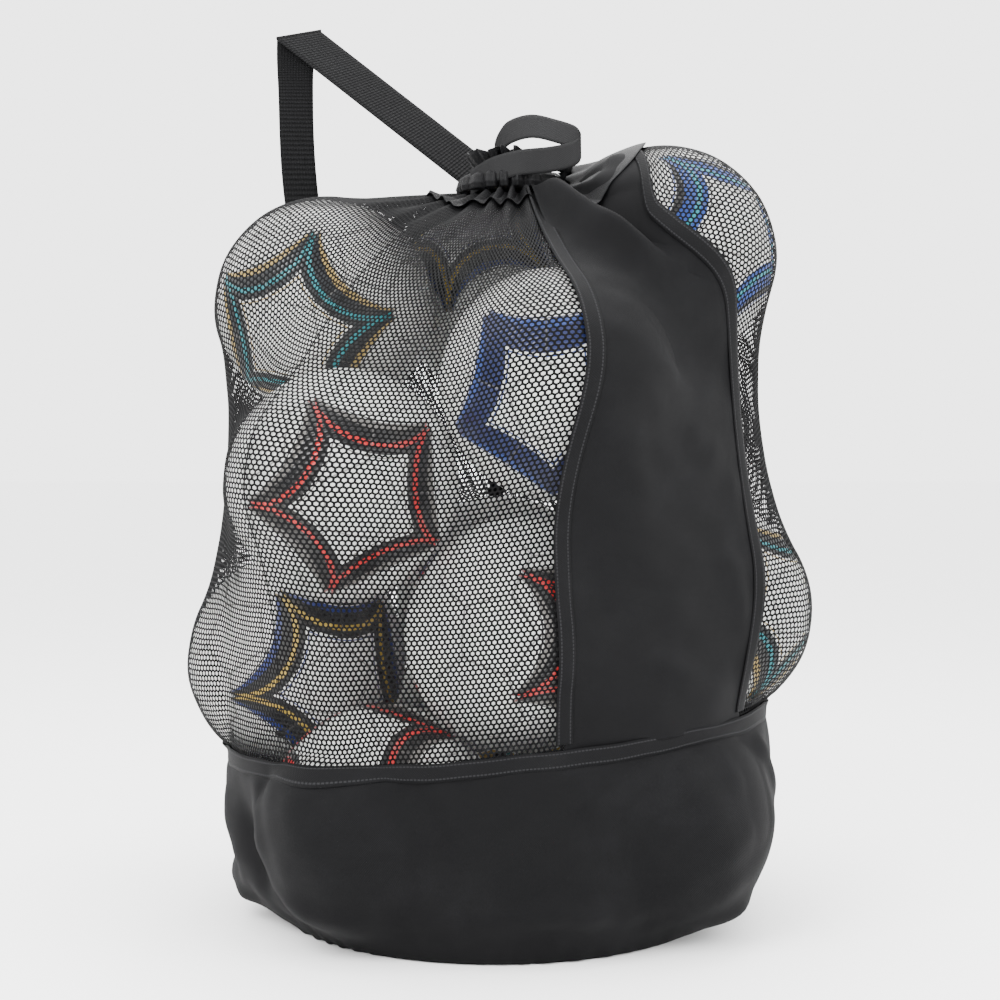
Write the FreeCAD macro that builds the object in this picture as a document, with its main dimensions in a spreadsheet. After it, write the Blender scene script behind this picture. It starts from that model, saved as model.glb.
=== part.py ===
import FreeCAD
import Part
import Sketcher
import math
import os

# Mesh ball bag: a net and oxford-cloth sack standing on its round base, filled with
# footballs, cinched by a draw cord with a cord lock, with a webbing shoulder strap.
#
# Frame: +Z up, -Y is the front, origin under the middle of the base disc.
# Angles round the bag ("bearings") are in degrees from the front (-Y) towards +X.

SIZES = [
    ("ball_diameter", 220.0, "outside diameter of a football"),
    ("ball_wall", 2.8, "cover, lining and bladder together"),
    ("ball_gap", 0.3, "clearance between two balls"),
    ("valve_radius", 4.3, "rubber valve in each ball"),
    ("valve_depth", 7.0, "length of the valve"),
    ("fit_gap", 0.3, "clearance between sewn or seated pieces"),
    ("fabric_gap", 3.0, "from a ball to the inside of the cloth"),
    ("net_thickness", 0.8, "thickness of the net"),
    ("cloth_thickness", 1.0, "thickness of the coated cloth"),
    ("tape_gap", 1.0, "from the cloth to a binding sewn over it"),
    ("tape_width", 15.0, "width of a seam binding"),
    ("tape_thickness", 0.9, "thickness of a seam binding"),
    ("base_margin", 24.0, "base cloth outside the touching points of the lowest balls"),
    ("base_thickness", 2.0, "thickness of the base disc"),
    ("piping_radius", 2.5, "radius of the corded edge of the base"),
    ("cup_half_width", 268.0, "half width of the slack cloth cup"),
    ("cup_half_depth", 240.0, "half depth of the slack cloth cup"),
    ("cup_height", 187.0, "height of the cup's rim at the front"),
    ("cup_rise", 23.0, "how much higher the rim is on the right"),
    ("neck_radius", 54.0, "opening of the net where the collar is sewn on"),
    ("neck_x", 16.0, "middle of the neck, to the right"),
    ("neck_y", -5.0, "middle of the neck, to the back"),
    ("neck_drop", 54.0, "neck below the top of the highest ball"),
    ("collar_lap", 6.0, "collar cloth tucked inside the net"),
    ("casing_outer", 49.0, "outside radius of the gathered casing"),
    ("casing_inner", 16.0, "radius of the cinched throat"),
    ("casing_rise", 6.0, "underside of the casing above the neck"),
    ("casing_height", 22.0, "height of the gathered casing"),
    ("frill_height", 21.0, "height of the gathered edge above the casing"),
    ("frill_radius", 40.0, "radius of the top of the gathered edge"),
    ("cord_diameter", 4.0, "draw cord"),
    ("cord_ring_radius", 34.0, "draw cord's ring inside the casing"),
    ("cord_bend", 8.0, "radius of the draw cord's bends"),
    ("cord_exit", -30.0, "direction in which the draw cord leaves, from +X"),
    ("cord_tail", 43.0, "upright run of the draw cord"),
    ("eyelet_flange", 2.2, "flange of the eyelet round its hole"),
    ("eyelet_wall", 0.7, "wall of the eyelet's barrel"),
    ("eyelet_depth", 4.0, "length of the eyelet's barrel"),
    ("eyelet_lip", 1.2, "thickness of the eyelet's flange"),
    ("lock_diameter", 13.0, "cord lock barrel"),
    ("lock_wall", 2.0, "end wall of the cord lock barrel"),
    ("plunger_web", 1.2, "plunger behind its window"),
    ("spring_solid", 1.6, "length of the cord lock's spring when pressed flat"),
    ("lock_bore", 8.4, "bore for the cord lock's plunger"),
    ("plunger_travel", 3.5, "how far the plunger presses in"),
    ("plunger_head", 1.5, "plunger that still stands proud when pressed in"),
    ("spring_wire", 0.5, "wire of the cord lock's spring"),
    ("spring_pitch", 1.3, "one turn of the cord lock's spring"),
    ("spring_play", 0.2, "clearance at each end of the cord lock's spring"),
    ("spring_inset", 1.2, "from the bore to the outside of the spring"),
    ("bell_radius", 7.5, "end bell of the draw cord"),
    ("bell_height", 9.0, "end bell of the draw cord"),
    ("handle_width", 26.0, "webbing of the carry handle"),
    ("handle_thickness", 1.6, "webbing of the carry handle"),
    ("strap_width", 38.0, "webbing of the shoulder strap"),
    ("strap_thickness", 1.8, "webbing of the shoulder strap"),
    ("strap_clearance", 7.0, "from the net to the shoulder strap"),
    ("strap_peak", 195.0, "top of the shoulder strap above the neck"),
    ("strap_reach", 228.0, "fold of the shoulder strap, to the left of the neck"),
    ("tab_height", 30.0, "sewn tab that holds an end of the strap"),
]

# Where each ball lies: (right, back, up) in ball pitches. "Up" of the lowest layer is
# set by the base disc, so it is left at zero here.
BALLS = {
    "ball_floor_1": (-0.49, -0.59, 0.0),
    "ball_floor_2": (-0.37, 0.62, 0.0),
    "ball_floor_3": (0.63, 0.53, 0.0),
    "ball_floor_4": (0.68, -0.47, 0.0),
    "ball_lower_1": (-0.92, 0.06, 1.13),
    "ball_lower_2": (0.10, -0.63, 1.31),
    "ball_lower_3": (0.90, -0.02, 1.38),
    "ball_lower_4": (-0.01, 0.37, 1.385),
    "ball_middle_1": (-0.66, -0.56, 1.96),
    "ball_middle_2": (0.71, 0.55, 2.165),
    "ball_middle_3": (-0.70, 0.62, 1.96),
    "ball_upper_1": (-0.79, 0.02, 2.74),
    "ball_upper_2": (0.255, -0.62, 2.38),
    "ball_upper_3": (0.77, -0.02, 2.985),
    "ball_upper_4": (0.01, 0.63, 2.87),
}

# Edges of the opaque front panel: (share of the height from rim to neck, bearing).
PANEL_LEFT_EDGE = ((0.0, 14.0), (0.3, 13.5), (0.6, 20.0), (1.0, 17.0))
PANEL_RIGHT_EDGE = ((0.0, 60.0), (0.25, 67.0), (0.6, 68.0), (0.8, 59.0), (0.92, 84.0), (1.0, 104.0))
BACK_SEAM = 180.0
STRAP_BEARING = 218.0
STRAP_TOP_BEARING = 200.0
STRAP_HEIGHTS = (500.0, 440.0, 380.0, 320.0, 260.0)
# Corners of the strap's fold, from the point on the neck's level at its reach and peak.
FOLD_LEFT = (-25.0, 100.0, -4.0)
FOLD_RIGHT = (23.0, 100.0, 4.0)
# Stations where the strap hangs free: below the peak, behind the neck, left and right of the reach.
HANGING = ((48.0, 114.0, -25.0, 13.0), (190.0, 155.0, -20.0, 18.0))
# Last stations of the strap: above the middle of its lower tab, and away from the tab.
SEWN_DOWN = ((34.0, 3.5), (19.0, 0.6), (6.0, 0.0), (-10.0, 0.0))
FOLD_BEND = 1.4

# Profile of the slack cup: (height, share of its full half width).
CUP_PROFILE = ((0.0, 0.76), (20.0, 0.9), (46.0, 0.97), (107.0, 1.0))

BEARING_STEP = 5
BODY_ROWS = 19
SHOULDER_ELEVATIONS = (8.0, 16.0, 24.0, 32.0, 40.0, 48.0)
FIRST_ROW_HEIGHT = 20.0
EDGE_HEIGHT = 3.0
PIVOT_DROP = 22.0
RELAX_STEPS = 300
DRAPE_STEPS = 60
SPREAD_STEPS = 400
WALL_ROWS = 36

doc = FreeCAD.newDocument("MeshBallBag")


def make_sheet():
    """Put the driving dimensions into a spreadsheet, one alias each."""
    sheet = doc.addObject("Spreadsheet::Sheet", "Sizes")
    for row, (alias, value, note) in enumerate(SIZES, 1):
        sheet.set("A%d" % row, note)
        sheet.set("B%d" % row, str(value))
        sheet.setAlias("B%d" % row, alias)
    doc.recompute()
    return sheet


def add_result(alias, value, note):
    """Add a value that follows from the others, so that bodies can be bound to it."""
    row = len(SIZES) + 2 + len(RESULTS)
    RESULTS.append(alias)
    SHEET.set("A%d" % row, note)
    SHEET.set("B%d" % row, "%.6f" % value)
    SHEET.setAlias("B%d" % row, alias)
    doc.recompute()
    return value


RESULTS = []
SHEET = make_sheet()


def size(alias):
    return float(SHEET.get(alias))


# ---------------------------------------------------------------- small vector helpers

def lerp(a, b, share):
    return a + (b - a) * share


def mix(p, q, share):
    return p + (q - p) * share


def along(table, x):
    """Read a smooth value from a short table of (x, value)."""
    if x <= table[0][0]:
        return table[0][1]
    for (x0, y0), (x1, y1) in zip(table, table[1:]):
        if x <= x1:
            share = (x - x0) / (x1 - x0)
            return lerp(y0, y1, share * share * (3 - 2 * share))
    return table[-1][1]


def bearing_vector(bearing):
    turn = math.radians(bearing)
    return FreeCAD.Vector(math.sin(turn), -math.cos(turn), 0)


def cubic(p0, p1, p2, p3, share):
    """Catmull-Rom curve through p1 and p2."""
    a = p1 * 2
    b = (p2 - p0) * share
    c = (p0 * 2 - p1 * 5 + p2 * 4 - p3) * (share * share)
    d = (p1 * 3 - p0 - p2 * 3 + p3) * (share * share * share)
    return (a + b + c + d) * 0.5


# ---------------------------------------------------------------- where the balls lie

def ball_centres():
    """Start from the arrangement above and push any two touching balls apart."""
    pitch = size("ball_diameter") + size("ball_gap")
    floor = size("base_thickness") + size("fit_gap") + size("ball_diameter") / 2
    centres = {}
    for name, (right, back, up) in BALLS.items():
        centres[name] = FreeCAD.Vector(right * pitch, back * pitch, up * pitch if up else floor)
    names = list(centres)
    for _ in range(SPREAD_STEPS):
        for i, first in enumerate(names):
            for second in names[i + 1:]:
                apart = centres[second] - centres[first]
                if apart.Length < pitch:
                    push = apart * ((pitch - apart.Length) / apart.Length / 2)
                    centres[first] = centres[first] - push
                    centres[second] = centres[second] + push
        for name in names:
            if not BALLS[name][2]:
                centres[name].z = floor
    return centres


CENTRES = ball_centres()
BALL_RADIUS = size("ball_diameter") / 2
TOP_CENTRE = max(c.z for c in CENTRES.values())
FLOOR_REACH = max(math.hypot(c.x, c.y) for n, c in CENTRES.items() if not BALLS[n][2])
BASE_RADIUS = add_result("base_radius", FLOOR_REACH + size("base_margin"), "radius of the base disc")
NECK_HEIGHT = add_result("neck_height", TOP_CENTRE + BALL_RADIUS - size("neck_drop"),
                         "height of the neck")
NECK = FreeCAD.Vector(size("neck_x"), size("neck_y"), NECK_HEIGHT)


# ---------------------------------------------------------------- shape of the skin

def row_rays(bearing):
    """Origins and directions of the rays on which the skin's points at a bearing lie."""
    outward = bearing_vector(bearing)
    pivot = TOP_CENTRE - PIVOT_DROP
    rays = []
    for row in range(BODY_ROWS):
        height = lerp(FIRST_ROW_HEIGHT, pivot, row / (BODY_ROWS - 1))
        rays.append((FreeCAD.Vector(0, 0, height), outward))
    for elevation in SHOULDER_ELEVATIONS:
        lift = math.radians(elevation)
        share = elevation / SHOULDER_ELEVATIONS[-1]
        origin = FreeCAD.Vector(NECK.x * share, NECK.y * share, pivot)
        rays.append((origin, outward * math.cos(lift) + FreeCAD.Vector(0, 0, math.sin(lift))))
    return rays


def ball_exit(origin, direction):
    """Distance along a ray at which it leaves the last ball, cloth clearance included."""
    reach = BALL_RADIUS + size("fabric_gap")
    furthest = 0.0
    for centre in CENTRES.values():
        offset = centre - origin
        middle = offset.dot(direction)
        square = middle * middle - offset.dot(offset) + reach * reach
        if square > 0:
            furthest = max(furthest, middle + math.sqrt(square))
    return furthest


def cup_reach(bearing, height):
    """Half width of the slack cup, which stands out from the balls behind it."""
    if height > rim_height(bearing):
        return 0.0
    outward = bearing_vector(bearing)
    ellipse = 1 / math.hypot(outward.x / size("cup_half_width"), outward.y / size("cup_half_depth"))
    return ellipse * along(CUP_PROFILE, height)


def rim_height(bearing):
    """Height of the cup's rim, which climbs a little towards the right."""
    return size("cup_height") + size("cup_rise") * bearing_vector(bearing).x


def cloth_edge_radius():
    return BASE_RADIUS + 4 * size("fit_gap") + 2 * size("piping_radius")


def relax_skin():
    """Pull a grid of points tight over the balls, from the base's edge to the neck.

    Each point slides on its own ray to the mean of its neighbours, but never inside
    the balls or the slack cup. The first and last rows are pinned.
    """
    bearings = range(0, 360, BEARING_STEP)
    columns = len(bearings)
    rays = [row_rays(b) for b in bearings]
    rows = len(rays[0])
    least = []
    for b, column in zip(bearings, rays):
        exits = [max(ball_exit(o, d), cup_reach(b, o.z)) for o, d in column]
        least.append(exits)
    reach = [list(column) for column in least]
    low = [bearing_vector(b) * cloth_edge_radius() + FreeCAD.Vector(0, 0, EDGE_HEIGHT) for b in bearings]
    high = [NECK + bearing_vector(b) * size("neck_radius") for b in bearings]

    def point(i, j):
        if j < 0:
            return low[i]
        if j >= rows:
            return high[i]
        origin, direction = rays[i][j]
        return origin + direction * reach[i][j]

    for _ in range(RELAX_STEPS):
        for i in range(columns):
            for j in range(rows):
                origin, direction = rays[i][j]
                beside = point(i - 1, j) + point((i + 1) % columns, j)
                above = point(i, j - 1) + point(i, j + 1)
                mean = (beside + above) * 0.25
                reach[i][j] = max(least[i][j], (mean - origin).dot(direction))
    return [[point(i, j) for j in range(-1, rows + 1)] for i in range(columns)]


def outside_balls(point):
    """The point itself, or the nearest place that is clear of every ball."""
    reach = BALL_RADIUS + size("fabric_gap")
    for centre in CENTRES.values():
        offset = point - centre
        if offset.Length < reach:
            point = centre + offset * (reach / offset.Length)
    return point


def drape_skin(skin):
    """Let the points slide freely over the balls, which evens out the cloth."""
    columns, rows = len(skin), len(skin[0])
    for _ in range(DRAPE_STEPS):
        for i in range(columns):
            bearing = i * BEARING_STEP
            for j in range(1, rows - 1):
                beside = skin[i - 1][j] + skin[(i + 1) % columns][j]
                point = outside_balls((beside + skin[i][j - 1] + skin[i][j + 1]) * 0.25)
                width = math.hypot(point.x, point.y)
                stretch = max(1.0, cup_reach(bearing, point.z) / width)
                skin[i][j] = FreeCAD.Vector(point.x * stretch, point.y * stretch, point.z)
    return skin


SKIN = drape_skin(relax_skin())
ROWS = len(SKIN[0])


def skin_point(bearing, row):
    """Point of the inside of the skin at any bearing and any row, whole or not."""
    place = (bearing % 360) / BEARING_STEP
    column = int(place)
    across = []
    for step in (-1, 0, 1, 2):
        line = SKIN[(column + step) % len(SKIN)]
        first = min(int(row), ROWS - 2)
        near = [line[min(max(first + k, 0), ROWS - 1)] for k in (-1, 0, 1, 2)]
        across.append(cubic(*near, row - first))
    return outside_balls(cubic(*across, place - column))


def skin_normal(bearing, row):
    """Outward direction of the skin."""
    step = 0.4
    around = skin_point(bearing + 1, row) - skin_point(bearing - 1, row)
    up = skin_point(bearing, min(row + step, ROWS - 1)) - skin_point(bearing, max(row - step, 0))
    return around.cross(up).normalize()


def row_at(height):
    """Row of the skin at a height below the shoulder."""
    pivot = TOP_CENTRE - PIVOT_DROP
    return 1 + (height - FIRST_ROW_HEIGHT) / (pivot - FIRST_ROW_HEIGHT) * (BODY_ROWS - 1)


def cloth_point(bearing, row, lift):
    """Point at a distance outside the inner face of the skin."""
    return skin_point(bearing, row) + skin_normal(bearing, row) * lift


# ---------------------------------------------------------------- solids from cloth

def ruled(near, far):
    """Straight-lined face between two edges that run the same way."""
    same_way = 1
    return Part.makeRuledSurface(near, far, same_way)


def close_shell(faces, label):
    """Sew faces into one solid with its faces outward."""
    shell = Part.makeShell(faces)
    shell.sewShape()
    solid = Part.makeSolid(shell)
    if solid.Volume < 0:
        solid.reverse()
    add_feature(label, solid)


def add_feature(label, shape):
    feature = doc.addObject("Part::Feature", label)
    feature.Label = label
    feature.Shape = shape
    PIECES.append(feature)
    return feature


PIECES = []


def smooth_face(points):
    surface = Part.BSplineSurface()
    surface.interpolate(points)
    return surface


def sheet_solid(label, place, columns, rows, lift, thickness):
    """Solid cloth between two smooth faces; place(p, q) gives a bearing and a row."""
    sides = []
    for height in (lift, lift + thickness):
        grid = []
        for i in range(columns):
            line = []
            for j in range(rows):
                bearing, row = place(i / (columns - 1), j / (rows - 1))
                line.append(cloth_point(bearing, row, height))
            grid.append(line)
        sides.append(smooth_face(grid))
    inner, outer = sides
    faces = [inner.toShape(), outer.toShape()]
    u0, u1, v0, v1 = inner.bounds()
    w0, w1, x0, x1 = outer.bounds()
    borders = [(inner.uIso(u0), outer.uIso(w0)), (inner.uIso(u1), outer.uIso(w1)),
               (inner.vIso(v0), outer.vIso(x0)), (inner.vIso(v1), outer.vIso(x1))]
    for near, far in borders:
        faces.append(ruled(near.toShape(), far.toShape()))
    close_shell(faces, label)


def strip_solid(label, rows, thickness):
    """Solid webbing through rows of (left, right) edge points."""
    count = len(rows)
    near = []
    far = []
    for i, (left, right) in enumerate(rows):
        before = rows[max(i - 1, 0)]
        after = rows[min(i + 1, count - 1)]
        run = (after[0] + after[1]) - (before[0] + before[1])
        normal = (right - left).cross(run).normalize() * (thickness / 2)
        near.append((left - normal, right - normal))
        far.append((left + normal, right + normal))

    faces = []
    for i in range(count - 1):
        corners = (near[i][0], near[i][1], far[i][1], far[i][0])
        ahead = (near[i + 1][0], near[i + 1][1], far[i + 1][1], far[i + 1][0])
        for k in range(4):
            side = Part.makeLine(corners[k - 1], corners[k])
            faces.append(ruled(side, Part.makeLine(ahead[k - 1], ahead[k])))
    for i in (0, count - 1):
        faces.append(ruled(Part.makeLine(*near[i]), Part.makeLine(*far[i])))
    close_shell(faces, label)


# ---------------------------------------------------------------- bodies and sketches

def origin_plane(body, role):
    for feature in body.Origin.OriginFeatures:
        if feature.Role == role:
            return feature
    raise ValueError(role)


def new_body(label):
    body = doc.addObject("PartDesign::Body", label)
    body.Label = label
    PIECES.append(body)
    return body


def new_sketch(body, name, role):
    sketch = body.newObject("Sketcher::SketchObject", name)
    sketch.AttachmentSupport = (origin_plane(body, role), [""])
    sketch.MapMode = "FlatFace"
    return sketch


def bound_circle(sketch, radius, across="0", up="0"):
    """Circle with its radius and centre bound to expressions."""
    index = sketch.addGeometry(Part.Circle(FreeCAD.Vector(0, 0, 0), FreeCAD.Vector(0, 0, 1), 1))
    bind(sketch, Sketcher.Constraint("Radius", index, 1.0), radius)
    pin(sketch, index, 3, across, up)


def bind(sketch, constraint, expression):
    number = sketch.addConstraint(constraint)
    sketch.setExpression("Constraints[%d]" % number, expression)


def pin(sketch, index, vertex, across, up):
    """Hold a point at a place given by two expressions."""
    bind(sketch, Sketcher.Constraint("DistanceX", -1, 1, index, vertex, 0.0), across)
    bind(sketch, Sketcher.Constraint("DistanceY", -1, 1, index, vertex, 0.0), up)


def bound_outline(sketch, corners):
    """Closed outline whose corners are pairs of expressions."""
    rough = [FreeCAD.Vector(evaluate(sketch, x), evaluate(sketch, y), 0) for x, y in corners]
    count = len(corners)
    lines = []
    for i in range(count):
        lines.append(sketch.addGeometry(Part.LineSegment(rough[i], rough[(i + 1) % count])))
    for i in range(count):
        sketch.addConstraint(Sketcher.Constraint("Coincident", lines[i], 2, lines[(i + 1) % count], 1))
    for line, (x, y) in zip(lines, corners):
        pin(sketch, line, 1, x, y)


def evaluate(sketch, expression):
    result = sketch.evalExpression(expression)
    return float(getattr(result, "Value", result))


def revolve(body, sketch):
    """Turn a sketch on the XZ plane once round its upright axis."""
    turn = body.newObject("PartDesign::Revolution", "Turn")
    turn.Profile = sketch
    turn.ReferenceAxis = (sketch, ["V_Axis"])
    turn.Angle = 360
    body.Tip = turn
    return turn


def turned_body(label, corners, place):
    body = new_body(label)
    sketch = new_sketch(body, label + "_outline", "XZ_Plane")
    bound_outline(sketch, corners)
    revolve(body, sketch)
    body.Placement = place
    return body


def padded_circle(label, radius, length):
    body = new_body(label)
    sketch = new_sketch(body, label + "_outline", "XY_Plane")
    bound_circle(sketch, radius)
    pad = body.newObject("PartDesign::Pad", "Thickness")
    pad.Profile = sketch
    pad.setExpression("Length", length)
    body.Tip = pad
    return body


def at(point, rotation=None):
    return FreeCAD.Placement(point, rotation or FreeCAD.Rotation())


# ---------------------------------------------------------------- balls

def valve_direction(number):
    """Each ball has rolled another way, so its valve points another way."""
    turn = math.radians(75 + 137.5 * number)
    lift = math.radians(-35 + 23 * (number % 4))
    return FreeCAD.Vector(math.cos(lift) * math.cos(turn), math.cos(lift) * math.sin(turn), math.sin(lift))


def valve_axis(number):
    return FreeCAD.Rotation(FreeCAD.Vector(0, 0, 1), valve_direction(number))


def primitive(kind, label, bindings, place=None):
    item = doc.addObject(kind, label)
    item.Label = label
    for name, expression in bindings.items():
        item.setExpression(name, expression)
    item.Placement = place or FreeCAD.Placement()
    return item


def boolean(kind, label, base, tool):
    item = doc.addObject(kind, label)
    item.Label = label
    item.Base = base
    item.Tool = tool
    return item


def make_ball(name, number):
    """Hollow ball with a hole for its valve."""
    place = at(CENTRES[name])
    cover = primitive("Part::Sphere", name + "_cover", {"Radius": "Sizes.ball_diameter / 2"}, place)
    air = primitive("Part::Sphere", name + "_air",
                    {"Radius": "Sizes.ball_diameter / 2 - Sizes.ball_wall"}, place)
    hole = primitive("Part::Cylinder", name + "_hole",
                     {"Radius": "Sizes.valve_radius + Sizes.fit_gap", "Height": "Sizes.ball_diameter"},
                     at(CENTRES[name], valve_axis(number)))
    shell = boolean("Part::Cut", name + "_shell", cover, air)
    PIECES.append(boolean("Part::Cut", name, shell, hole))


def make_valves():
    """One rubber valve in each ball, flush with the cover."""
    valves = []
    for number, name in enumerate(BALLS):
        direction = valve_direction(number)
        start = CENTRES[name] + direction * (BALL_RADIUS - size("valve_depth"))
        plug = Part.makeCylinder(size("valve_radius"), size("valve_depth") + 1, start, direction)
        valves.append(plug.common(Part.makeSphere(BALL_RADIUS, CENTRES[name])))
    add_feature("ball_valves", Part.makeCompound(valves))


# ---------------------------------------------------------------- base and cup

def make_base():
    padded_circle("base_disc", "Sizes.base_radius", "Sizes.base_thickness")
    place = at(FreeCAD.Vector(0, 0, size("piping_radius")))
    piping = primitive("Part::Torus", "base_piping",
                       {"Radius1": "Sizes.base_radius + Sizes.fit_gap + Sizes.piping_radius",
                        "Radius2": "Sizes.piping_radius"}, place)
    PIECES.append(piping)


def make_cup():
    """One strip of cloth round the base, its two ends meeting at the back seam."""
    slit = 0.1

    def place(p, q):
        bearing = lerp(BACK_SEAM - 360 + slit, BACK_SEAM - slit, p)
        return bearing, lerp(0, row_at(rim_height(bearing)) - edge_gap(), q)

    sheet_solid("cup_wall", place, 145, 17, 0, size("cloth_thickness"))


def edge_gap():
    """Half the clearance between two sewn edges, in rows."""
    row_height = (TOP_CENTRE - PIVOT_DROP - FIRST_ROW_HEIGHT) / (BODY_ROWS - 1)
    return size("fit_gap") / row_height


def make_rim_tape():
    """Binding round the rim of the cup, over the seam."""
    half = size("tape_width") / 2 * edge_gap() / size("fit_gap")
    lift = size("cloth_thickness") + size("tape_gap")
    slit = 0.1

    def place(p, q):
        bearing = lerp(BACK_SEAM - 360 + slit, BACK_SEAM - slit, p)
        return bearing, row_at(rim_height(bearing)) + lerp(-half, half, q)

    sheet_solid("cup_rim_tape", place, 181, 4, lift, size("tape_thickness"))


# ---------------------------------------------------------------- net and panel

def net_row(bearing, q):
    """Row at a share of the height from just above the rim to the neck."""
    return lerp(row_at(rim_height(bearing)) + edge_gap(), ROWS - 1, q)


def slit_angle(bearing, q):
    """Half the clearance beside an upright seam, as an angle."""
    point = skin_point(bearing, net_row(bearing, q))
    centre = FreeCAD.Vector(NECK.x * q, NECK.y * q, point.z)
    return math.degrees(size("fit_gap") / (point - centre).Length)


def upright_sheet(label, left, right, columns, thickness):
    """Sheet of the wall between two upright edges given as bearing(q)."""

    def place(p, q):
        start = left(q) + slit_angle(left(q), q)
        end = right(q) - slit_angle(right(q), q)
        bearing = lerp(start, end, p)
        return bearing, net_row(bearing, q)

    sheet_solid(label, place, columns, WALL_ROWS, 0, thickness)


def panel_left(q):
    return along(PANEL_LEFT_EDGE, q)


def panel_right(q):
    return along(PANEL_RIGHT_EDGE, q)


def back_seam(q):
    return BACK_SEAM


def make_wall():
    upright_sheet("front_panel", panel_left, panel_right, 14, size("cloth_thickness"))
    upright_sheet("mesh_left", lambda q: BACK_SEAM - 360, panel_left, 66, size("net_thickness"))
    upright_sheet("mesh_right", panel_right, back_seam, 40, size("net_thickness"))


def make_upright_tape(label, edge):
    """Binding over an upright seam, between the rim binding and the collar."""
    lift = size("cloth_thickness") + size("tape_gap")
    low, high = 0.03, 0.93

    def place(p, q):
        share = lerp(low, high, q)
        bearing = edge(share)
        row = net_row(bearing, share)
        distance = skin_point(bearing, row).distanceToPoint(FreeCAD.Vector(0, 0, skin_point(bearing, row).z))
        half = math.degrees(size("tape_width") / 2 / distance)
        return bearing + lerp(-half, half, p), row

    sheet_solid(label, place, 4, WALL_ROWS, lift, size("tape_thickness"))


# ---------------------------------------------------------------- collar and draw cord

def make_collar():
    """Short cloth yoke, sewn inside the top edge of the net."""
    wall = "Sizes.cloth_thickness"
    low = "Sizes.neck_radius - Sizes.fit_gap"
    high = "Sizes.casing_outer"
    corners = [(low, "-Sizes.collar_lap"), (low, "0"),
               (high, "Sizes.casing_rise - Sizes.fit_gap"),
               (high + " - %s" % wall, "Sizes.casing_rise - Sizes.fit_gap"),
               (low + " - %s" % wall, "-Sizes.fit_gap"),
               (low + " - %s" % wall, "-Sizes.collar_lap")]
    turned_body("collar_yoke", corners, at(NECK))


def make_casing():
    """Gathered casing with a channel for the cord's ring and a pocket at its exit."""
    low = "Sizes.casing_rise"
    high = "Sizes.casing_rise + Sizes.casing_height"
    round_off = "Sizes.casing_height / 4"
    inner, outer = "Sizes.casing_inner", "Sizes.casing_outer"
    corners = [(inner, low + " + " + round_off), (inner + " + " + round_off, low),
               (outer + " - " + round_off, low), (outer, low + " + " + round_off),
               (outer, high + " - " + round_off), (outer + " - " + round_off, high),
               (inner + " + " + round_off, high), (inner, high + " - " + round_off)]
    body = turned_body("cord_casing_cloth", corners, at(NECK))
    PIECES.remove(body)
    channel = primitive("Part::Torus", "cord_channel",
                        {"Radius1": "Sizes.cord_ring_radius",
                         "Radius2": "Sizes.cord_diameter / 2 + Sizes.fit_gap"}, at(cord_level()))
    width = 2 * (size("cord_bend") + size("cord_diameter") + size("fit_gap"))
    turn = exit_rotation()
    corner = cord_level() + turn.multVec(FreeCAD.Vector(exit_start(), -width / 2, -channel_height() / 2))
    pocket = primitive("Part::Box", "cord_pocket", {}, FreeCAD.Placement(corner, turn))
    pocket.Length = eyelet_seat() - size("fit_gap") - exit_start() - size("eyelet_flange")
    pocket.Width = width
    pocket.Height = channel_height()
    hole = primitive("Part::Cylinder", "eyelet_hole", {"Radius": "%f + Sizes.fit_gap" % eyelet_outer()},
                     FreeCAD.Placement(cord_level(), turn * FreeCAD.Rotation(FreeCAD.Vector(0, 1, 0), 90)))
    hole.setExpression("Height", "Sizes.casing_outer * 2")
    hole.Placement.Base = cord_level() + exit_direction() * (size("cord_ring_radius") + size("cord_bend"))
    opened = boolean("Part::Cut", "casing_with_channel", body, channel)
    pocketed = boolean("Part::Cut", "casing_with_pocket", opened, pocket)
    PIECES.append(boolean("Part::Cut", "cord_casing", pocketed, hole))


def cord_level():
    """Middle of the cord's ring."""
    return NECK + FreeCAD.Vector(0, 0, size("casing_rise") + size("casing_height") / 2)


def exit_rotation():
    return FreeCAD.Rotation(FreeCAD.Vector(0, 0, 1), size("cord_exit"))


def exit_direction():
    return exit_rotation().multVec(FreeCAD.Vector(1, 0, 0))


def exit_start():
    """Inner end of the pocket in which the cord turns outward."""
    return size("cord_ring_radius") - size("cord_diameter")


def channel_height():
    return size("cord_diameter") + 2 * size("fit_gap")


def strand_offset():
    """Half the distance between the two strands of the tail."""
    return size("cord_diameter") / 2 + size("fit_gap") / 2


def eyelet_hole():
    return strand_offset() + size("cord_diameter") / 2 + size("fit_gap")


def eyelet_outer():
    """Outside radius of the eyelet's barrel."""
    return eyelet_hole() + 0.7


def eyelet_seat():
    """Distance from the neck's axis to the face on which the eyelet's flange sits."""
    return size("casing_outer")


def make_eyelet():
    """Brass eyelet: a short barrel through the casing's wall with a rolled flange."""
    hole = add_result("eyelet_hole", eyelet_hole(), "radius of the hole in the eyelet")
    barrel = add_result("eyelet_barrel", hole + size("eyelet_wall"), "outside radius of the eyelet's barrel")
    corners = [("Sizes.eyelet_hole", "-Sizes.eyelet_depth"), ("Sizes.eyelet_barrel", "-Sizes.eyelet_depth"),
               ("Sizes.eyelet_barrel", "Sizes.fit_gap"),
               ("%f + Sizes.eyelet_flange" % barrel, "Sizes.fit_gap"),
               ("%f + Sizes.eyelet_flange" % barrel, "Sizes.fit_gap + Sizes.eyelet_lip / 2"),
               ("Sizes.eyelet_barrel + Sizes.eyelet_flange / 2", "Sizes.fit_gap + Sizes.eyelet_lip"),
               ("Sizes.eyelet_hole", "Sizes.fit_gap + Sizes.eyelet_lip")]
    out = FreeCAD.Rotation(FreeCAD.Vector(0, 0, 1), exit_direction())
    turned_body("eyelet", corners, at(cord_level() + exit_direction() * eyelet_seat(), out))


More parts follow.
